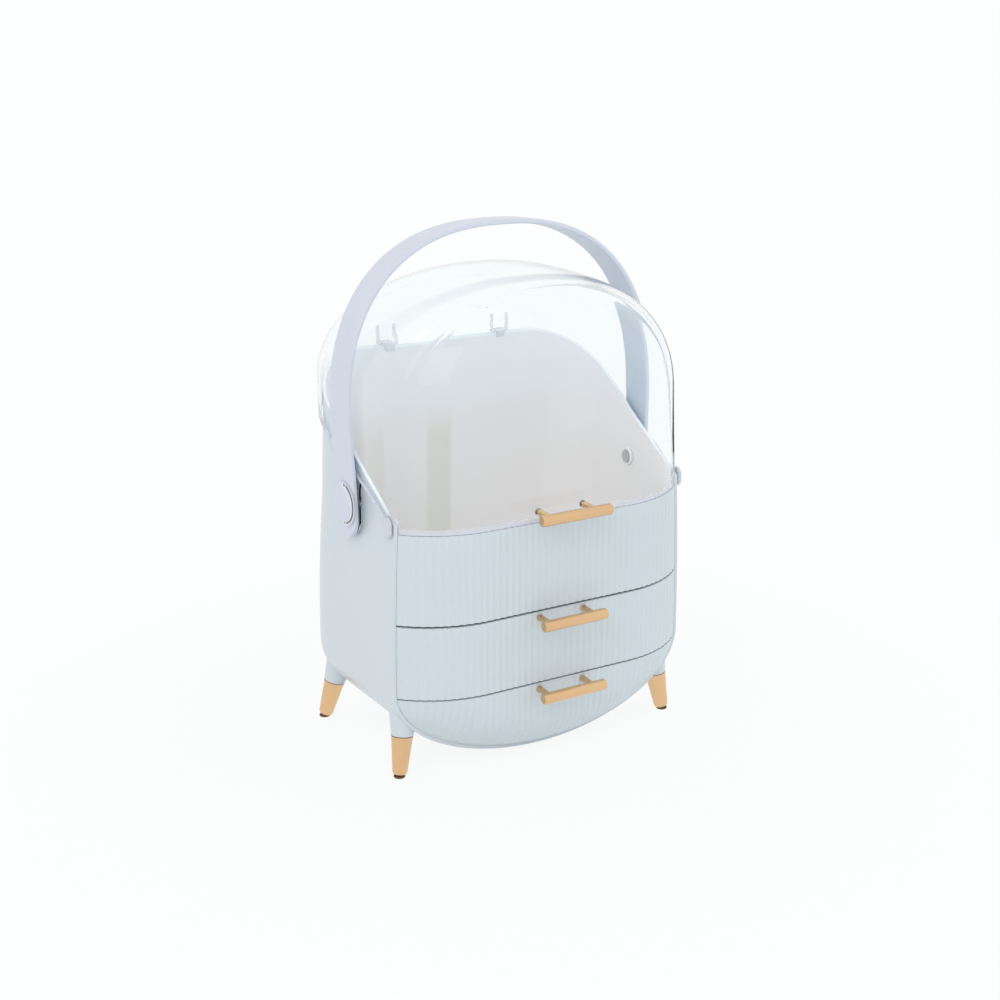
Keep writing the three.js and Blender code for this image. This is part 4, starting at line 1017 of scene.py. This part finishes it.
def add_grain(nodes, links, shader, scale, height, colour=None, spread=0.0):
    """Fine moulded grain: noise on Object coordinates drives a bump and a slight shade change."""
    add_bump(nodes, links, shader, add_noise(nodes, links, scale, 3.0), 0.35, height)
    if colour is None:
        return
    dark = [c * (1 - spread) for c in colour]
    broad = add_noise(nodes, links, 9.0, 2.0)
    shade = ramped(nodes, links, broad, (0.35, dark), (0.65, colour))
    links.new(shade, shader.inputs["Base Color"])


def satin_plastic(name, colour, roughness):
    """Satin moulded plastic with a very fine grain and a soft clear coat."""
    coat = {"Coat_Weight": 0.15, "Coat_Roughness": 0.2}
    material, nodes, links, shader = new_material(name, Roughness=roughness, **coat)
    add_grain(nodes, links, shader, 900.0, 0.00003, colour, 0.02)
    return material


def object_axes(nodes, links):
    """The three Object coordinates as separate values."""
    place = nodes.new("ShaderNodeTexCoord")
    split = nodes.new("ShaderNodeSeparateXYZ")
    links.new(place.outputs["Object"], split.inputs["Vector"])
    return split.outputs


def mixed(nodes, links, share, first, second):
    """A colour that runs from the first to the second with a share."""
    mix = nodes.new("ShaderNodeMix")
    mix.data_type = "RGBA"
    for socket, value in (("A", first), ("B", second)):
        if isinstance(value, tuple):
            mix.inputs[socket].default_value = (*value, 1)
        else:
            links.new(value, mix.inputs[socket])
    links.new(share, mix.inputs["Factor"])
    return mix.outputs["Result"]


def rim_plastic_painted_highlight(name, colour):
    """The housing's plastic on its cut edge, with a painted highlight where it rises above the
    fronts.
    """
    material, nodes, links, shader = new_material(name, Roughness=0.2)
    add_grain(nodes, links, shader, 900.0, 0.00003)
    # Painted highlight: the rim runs from the housing's colour to near white between 206 and 225 mm
    # up.
    share = ranged(nodes, links, object_axes(nodes, links)["Z"], 0.206, 0.225)
    links.new(mixed(nodes, links, share, colour, (0.93, 0.95, 0.98)), shader.inputs["Base Color"])
    return material


def bump_at(nodes, links, value, centre, reach):
    """A soft bump of 1 at a centre that falls to 0 at a reach on both sides."""
    away = maths(nodes, links, "SUBTRACT", value, centre)
    return ranged(nodes, links, maths(nodes, links, "ABSOLUTE", away), reach, reach * 0.7)


def cap_plastic_painted_groove_shade(name, colour):
    """The strap's plastic with a painted highlight on the groove attribute's flank and painted
    shade at its bottom.
    """
    material, nodes, links, shader = new_material(name, Roughness=0.4)
    add_grain(nodes, links, shader, 900.0, 0.00003)
    mark = nodes.new("ShaderNodeAttribute")
    mark.attribute_name = "groove"
    # Stops: own colour, then a painted highlight at mid depth, then painted shade at the bottom.
    stops = ((0.1, colour), (0.45, (0.9, 0.9, 0.92)), (0.95, (0.06, 0.05, 0.045)))
    shade = ramped(nodes, links, mark.outputs["Fac"], *stops)
    links.new(shade, shader.inputs["Base Color"])
    return material


def inner_plastic_painted_reflections(name, colour):
    """Matt inside: warm below, cooler above, with two soft olive bands of painted reflection on the
    rear wall.
    """
    material, nodes, links, shader = new_material(name, Roughness=0.5)
    add_grain(nodes, links, shader, 900.0, 0.00003)
    axes = object_axes(nodes, links)
    cool = (colour[0] * 0.97, colour[1] * 1.02, colour[2] * 1.07)
    shade = mixed(nodes, links, ranged(nodes, links, axes["Z"], 0.20, 0.30), colour, cool)
    # Painted reflections: two darker olive bands on the rear wall, centred 150 mm up.
    behind = maths(nodes, links, "GREATER_THAN", axes["Y"], 0.085)
    tall = maths(nodes, links, "MULTIPLY", behind, bump_at(nodes, links, axes["Z"], 0.15, 0.10))
    for centre, depth in ((-0.005, 0.6), (-0.072, 0.35)):
        band = bump_at(nodes, links, axes["X"], centre, 0.0135)
        band = maths(nodes, links, "MULTIPLY", band, depth)
        band = maths(nodes, links, "MULTIPLY", band, tall)
        shade = mixed(nodes, links, band, shade, (0.80, 0.79, 0.70))
    links.new(shade, shader.inputs["Base Color"])
    return material


def gold_metal(name, colour):
    """Satin peach-gold plating with a fine grain."""
    material, nodes, links, shader = new_material(name, Metallic=0.95, Roughness=0.27)
    add_grain(nodes, links, shader, 400.0, 0.00002, colour, 0.05)
    return material


def plain_steel(name):
    """Zinc-plated steel of screws and pins."""
    material, nodes, links, shader = new_material(name, Metallic=1.0, Roughness=0.36)
    add_grain(nodes, links, shader, 700.0, 0.00002, (0.62, 0.63, 0.65), 0.08)
    return material


def brown_rubber(name):
    """Soft brown rubber of the foot pads."""
    material, nodes, links, shader = new_material(name, Roughness=0.75)
    add_grain(nodes, links, shader, 500.0, 0.00005, (0.16, 0.08, 0.035), 0.2)
    return material


def clear_plastic(name, tint):
    """Clear polished plastic, milky where the frost attribute says so; shadow rays pass through."""
    material, nodes, links, shader = new_material(name, IOR=1.3)
    mark = nodes.new("ShaderNodeAttribute")
    mark.attribute_name = "frost"
    frost = mark.outputs["Fac"]

    def frosted(clear, milky):
        return ranged(nodes, links, frost, 0.0, 1.0, clear, milky, soft=False)

    colour = mixed(nodes, links, frost, tint, (0.68, 0.69, 0.78))
    links.new(colour, shader.inputs["Base Color"])
    links.new(frosted(0.03, 0.25), shader.inputs["Roughness"])
    links.new(frosted(1.0, 0.0), shader.inputs["Transmission Weight"])
    add_bump(nodes, links, shader, add_noise(nodes, links, 14.0, 2.0), 0.05, 0.0005)
    light = nodes.new("ShaderNodeLightPath").outputs
    either = maths(nodes, links, "MAXIMUM", light["Is Shadow Ray"], light["Is Diffuse Ray"])
    through = maths(nodes, links, "MULTIPLY", either, frosted(1.0, 0.0))
    clear = add_node(nodes, "BsdfTransparent", Color=(*tint, 1)).outputs["BSDF"]
    surface = shader.outputs["BSDF"]
    blend_shaders(nodes, links, through, surface, clear, "Material Output")
    return material


def finishes():
    """The object's finishes by the record's slot names, made once."""
    made = getattr(finishes, "made", None)
    if made is None:
        colours = bpy.context.scene.box_colours
        made = finishes.made = {
            "housing_white": satin_plastic("satin_housing", tuple(colours.housing), 0.32),
            "front_white": satin_plastic("satin_front", tuple(colours.front), 0.38),
            "inner_white": inner_plastic_painted_reflections("matt_inside_painted_reflections", tuple(colours.inner)),
            "cap_painted_groove_shade": cap_plastic_painted_groove_shade("satin_cap_painted_groove_shade", tuple(colours.strap)),
            "rim_white_painted_highlight": rim_plastic_painted_highlight("rim_painted_highlight", tuple(colours.housing)),
            "strap_white": satin_plastic("satin_strap", tuple(colours.strap), 0.4),
            "soft_gold": gold_metal("satin_gold", tuple(colours.gold)),
            "steel": plain_steel("plated_steel"),
            "rubber": brown_rubber("brown_rubber"),
            "clear_plastic": clear_plastic("clear_plastic", tuple(colours.clear)),
        }
    return made


class CosmeticsDress(bpy.types.Operator):
    """Gives every CAD node the finish of its record slot."""

    bl_idname = "cosmetics_box.dress"
    bl_label = "Dress the CAD nodes"

    def execute(self, context):
        made = finishes()
        for sub in frame["record"]["subparts"]:
            node = frame["nodes"][sub["node"]]
            node.data.materials.clear()
            node.data.materials.append(made[sub["material_slot"]])
        return {"FINISHED"}


def lamp(name, power, size, place, aim):
    """A square area lamp at a place, aimed at a point."""
    data = bpy.data.lights.new(name, "AREA")
    data.energy, data.size = power, size
    obj = link_object(name, data)
    obj.visible_glossy = False
    obj.location = place
    obj.rotation_euler = (Vector(aim) - Vector(place)).to_track_quat("-Z", "Y").to_euler()
    return obj


def seen_rays(nodes, links):
    """1 for camera, glossy and transmission rays, 0 for the others."""
    light = nodes.new("ShaderNodeLightPath").outputs
    first = maths(nodes, links, "MAXIMUM", light["Is Camera Ray"], light["Is Glossy Ray"])
    return maths(nodes, links, "MAXIMUM", first, light["Is Transmission Ray"])


class CosmeticsStage(bpy.types.Operator):
    """Camera, lamps, pale floor and sky."""

    bl_idname = "cosmetics_box.stage"
    bl_label = "Build the studio"

    def execute(self, context):
        scene = context.scene
        studio = scene.box_studio
        camera = bpy.data.cameras.new("camera")
        camera.lens, camera.sensor_width = studio.lens, 36.0
        camera.clip_start, camera.clip_end = 0.05, 50.0
        eye = link_object("camera", camera)
        eye.location = CAMERA_PLACE
        eye.rotation_euler = Vector(CAMERA_VIEW).to_track_quat("-Z", "Y").to_euler()
        scene.camera = eye
        scene.view_settings.view_transform = "Standard"
        world = bpy.data.worlds.new("studio_sky")
        world.use_nodes = True
        scene.world = world
        nodes, links = world.node_tree.nodes, world.node_tree.links
        sky = nodes["Background"]
        set_inputs(sky, {"Color": (0.97, 0.99, 1.0, 1), "Strength": studio.sky})
        plain = add_node(nodes, "Background", Color=(0.985, 1.0, 1.0, 1), Strength=1.0)
        shades = (sky.outputs["Background"], plain.outputs["Background"])
        blend_shaders(nodes, links, seen_rays(nodes, links), *shades, "World Output")
        lamp("key", studio.key, 1.2, (-1.4, -1.2, 1.6), (0, 0, 0.2))
        lamp("fill", studio.key * 0.4, 1.4, (1.6, -0.9, 1.0), (0, 0, 0.2))
        streak = lamp("streak", 0.5, 0.30, (-0.6, 0.25, 1.35), (-0.08, -0.03, 0.3))
        streak.visible_diffuse = False
        streak.visible_glossy = True
        self.floor()
        return {"FINISHED"}

    def floor(self):
        """A wide pale floor; camera rays see it near white with the object's soft shadow."""
        mesh = bpy.data.meshes.new("floor")
        half = 6.0
        corners = [(-half, -half, 0), (half, -half, 0), (half, half, 0), (-half, half, 0)]
        mesh.from_pydata(corners, [], [(0, 1, 2, 3)])
        floor = link_object("floor", mesh)
        paint = {"Base_Color": (0.93, 0.95, 0.95, 1), "Roughness": 0.9}
        material, nodes, links, shader = new_material("pale_floor", **paint)
        glow = add_node(nodes, "Emission", Color=(0.985, 1.0, 1.0, 1))
        place = nodes.new("ShaderNodeTexCoord")
        far = nodes.new("ShaderNodeVectorMath")
        far.operation = "LENGTH"
        links.new(place.outputs["Object"], far.inputs[0])
        fade = ranged(nodes, links, far.outputs["Value"], 0.2, 0.55, 0.9)
        share = maths(nodes, links, "MULTIPLY", seen_rays(nodes, links), fade)
        shades = (shader.outputs["BSDF"], glow.outputs["Emission"])
        blend_shaders(nodes, links, share, *shades, "Material Output")
        mesh.materials.append(material)


class CosmeticsPanel(bpy.types.Panel):
    """Sidebar panel with the sizes, colours and build steps."""

    bl_idname = "COSMETICS_PT_panel"
    bl_label = "Cosmetics Box"
    bl_space_type = "VIEW_3D"
    bl_region_type = "UI"
    bl_category = "Cosmetics Box"

    def draw(self, context):
        layout = self.layout
        for group in (context.scene.box_sizes, context.scene.box_colours, context.scene.box_studio):
            for name in group.bl_rna.properties.keys():
                if name not in ("rna_type", "name"):
                    layout.prop(group, name)
        for step in STEPS:
            layout.operator(step.bl_idname)


STEPS = (
    CosmeticsDress,
    CosmeticsHousing,
    CosmeticsFronts,
    CosmeticsLid,
    CosmeticsStrap,
    CosmeticsPulls,
    CosmeticsPivots,
    CosmeticsLegs,
    CosmeticsInside,
    CosmeticsStage,
)
CLASSES = (BoxSizes, BoxColours, BoxStudio, *STEPS, CosmeticsPanel)


def register():
    for cls in CLASSES:
        bpy.utils.register_class(cls)
    bpy.types.Scene.box_sizes = bpy.props.PointerProperty(type=BoxSizes)
    bpy.types.Scene.box_colours = bpy.props.PointerProperty(type=BoxColours)
    bpy.types.Scene.box_studio = bpy.props.PointerProperty(type=BoxStudio)


def unregister():
    del bpy.types.Scene.box_studio
    del bpy.types.Scene.box_colours
    del bpy.types.Scene.box_sizes
    for cls in reversed(CLASSES):
        bpy.utils.unregister_class(cls)


def main():
    register()
    for step in STEPS:
        group, name = step.bl_idname.split(".")
        getattr(getattr(bpy.ops, group), name)()
    bpy.context.view_layer.update()


if __name__ == "__main__":
    main()
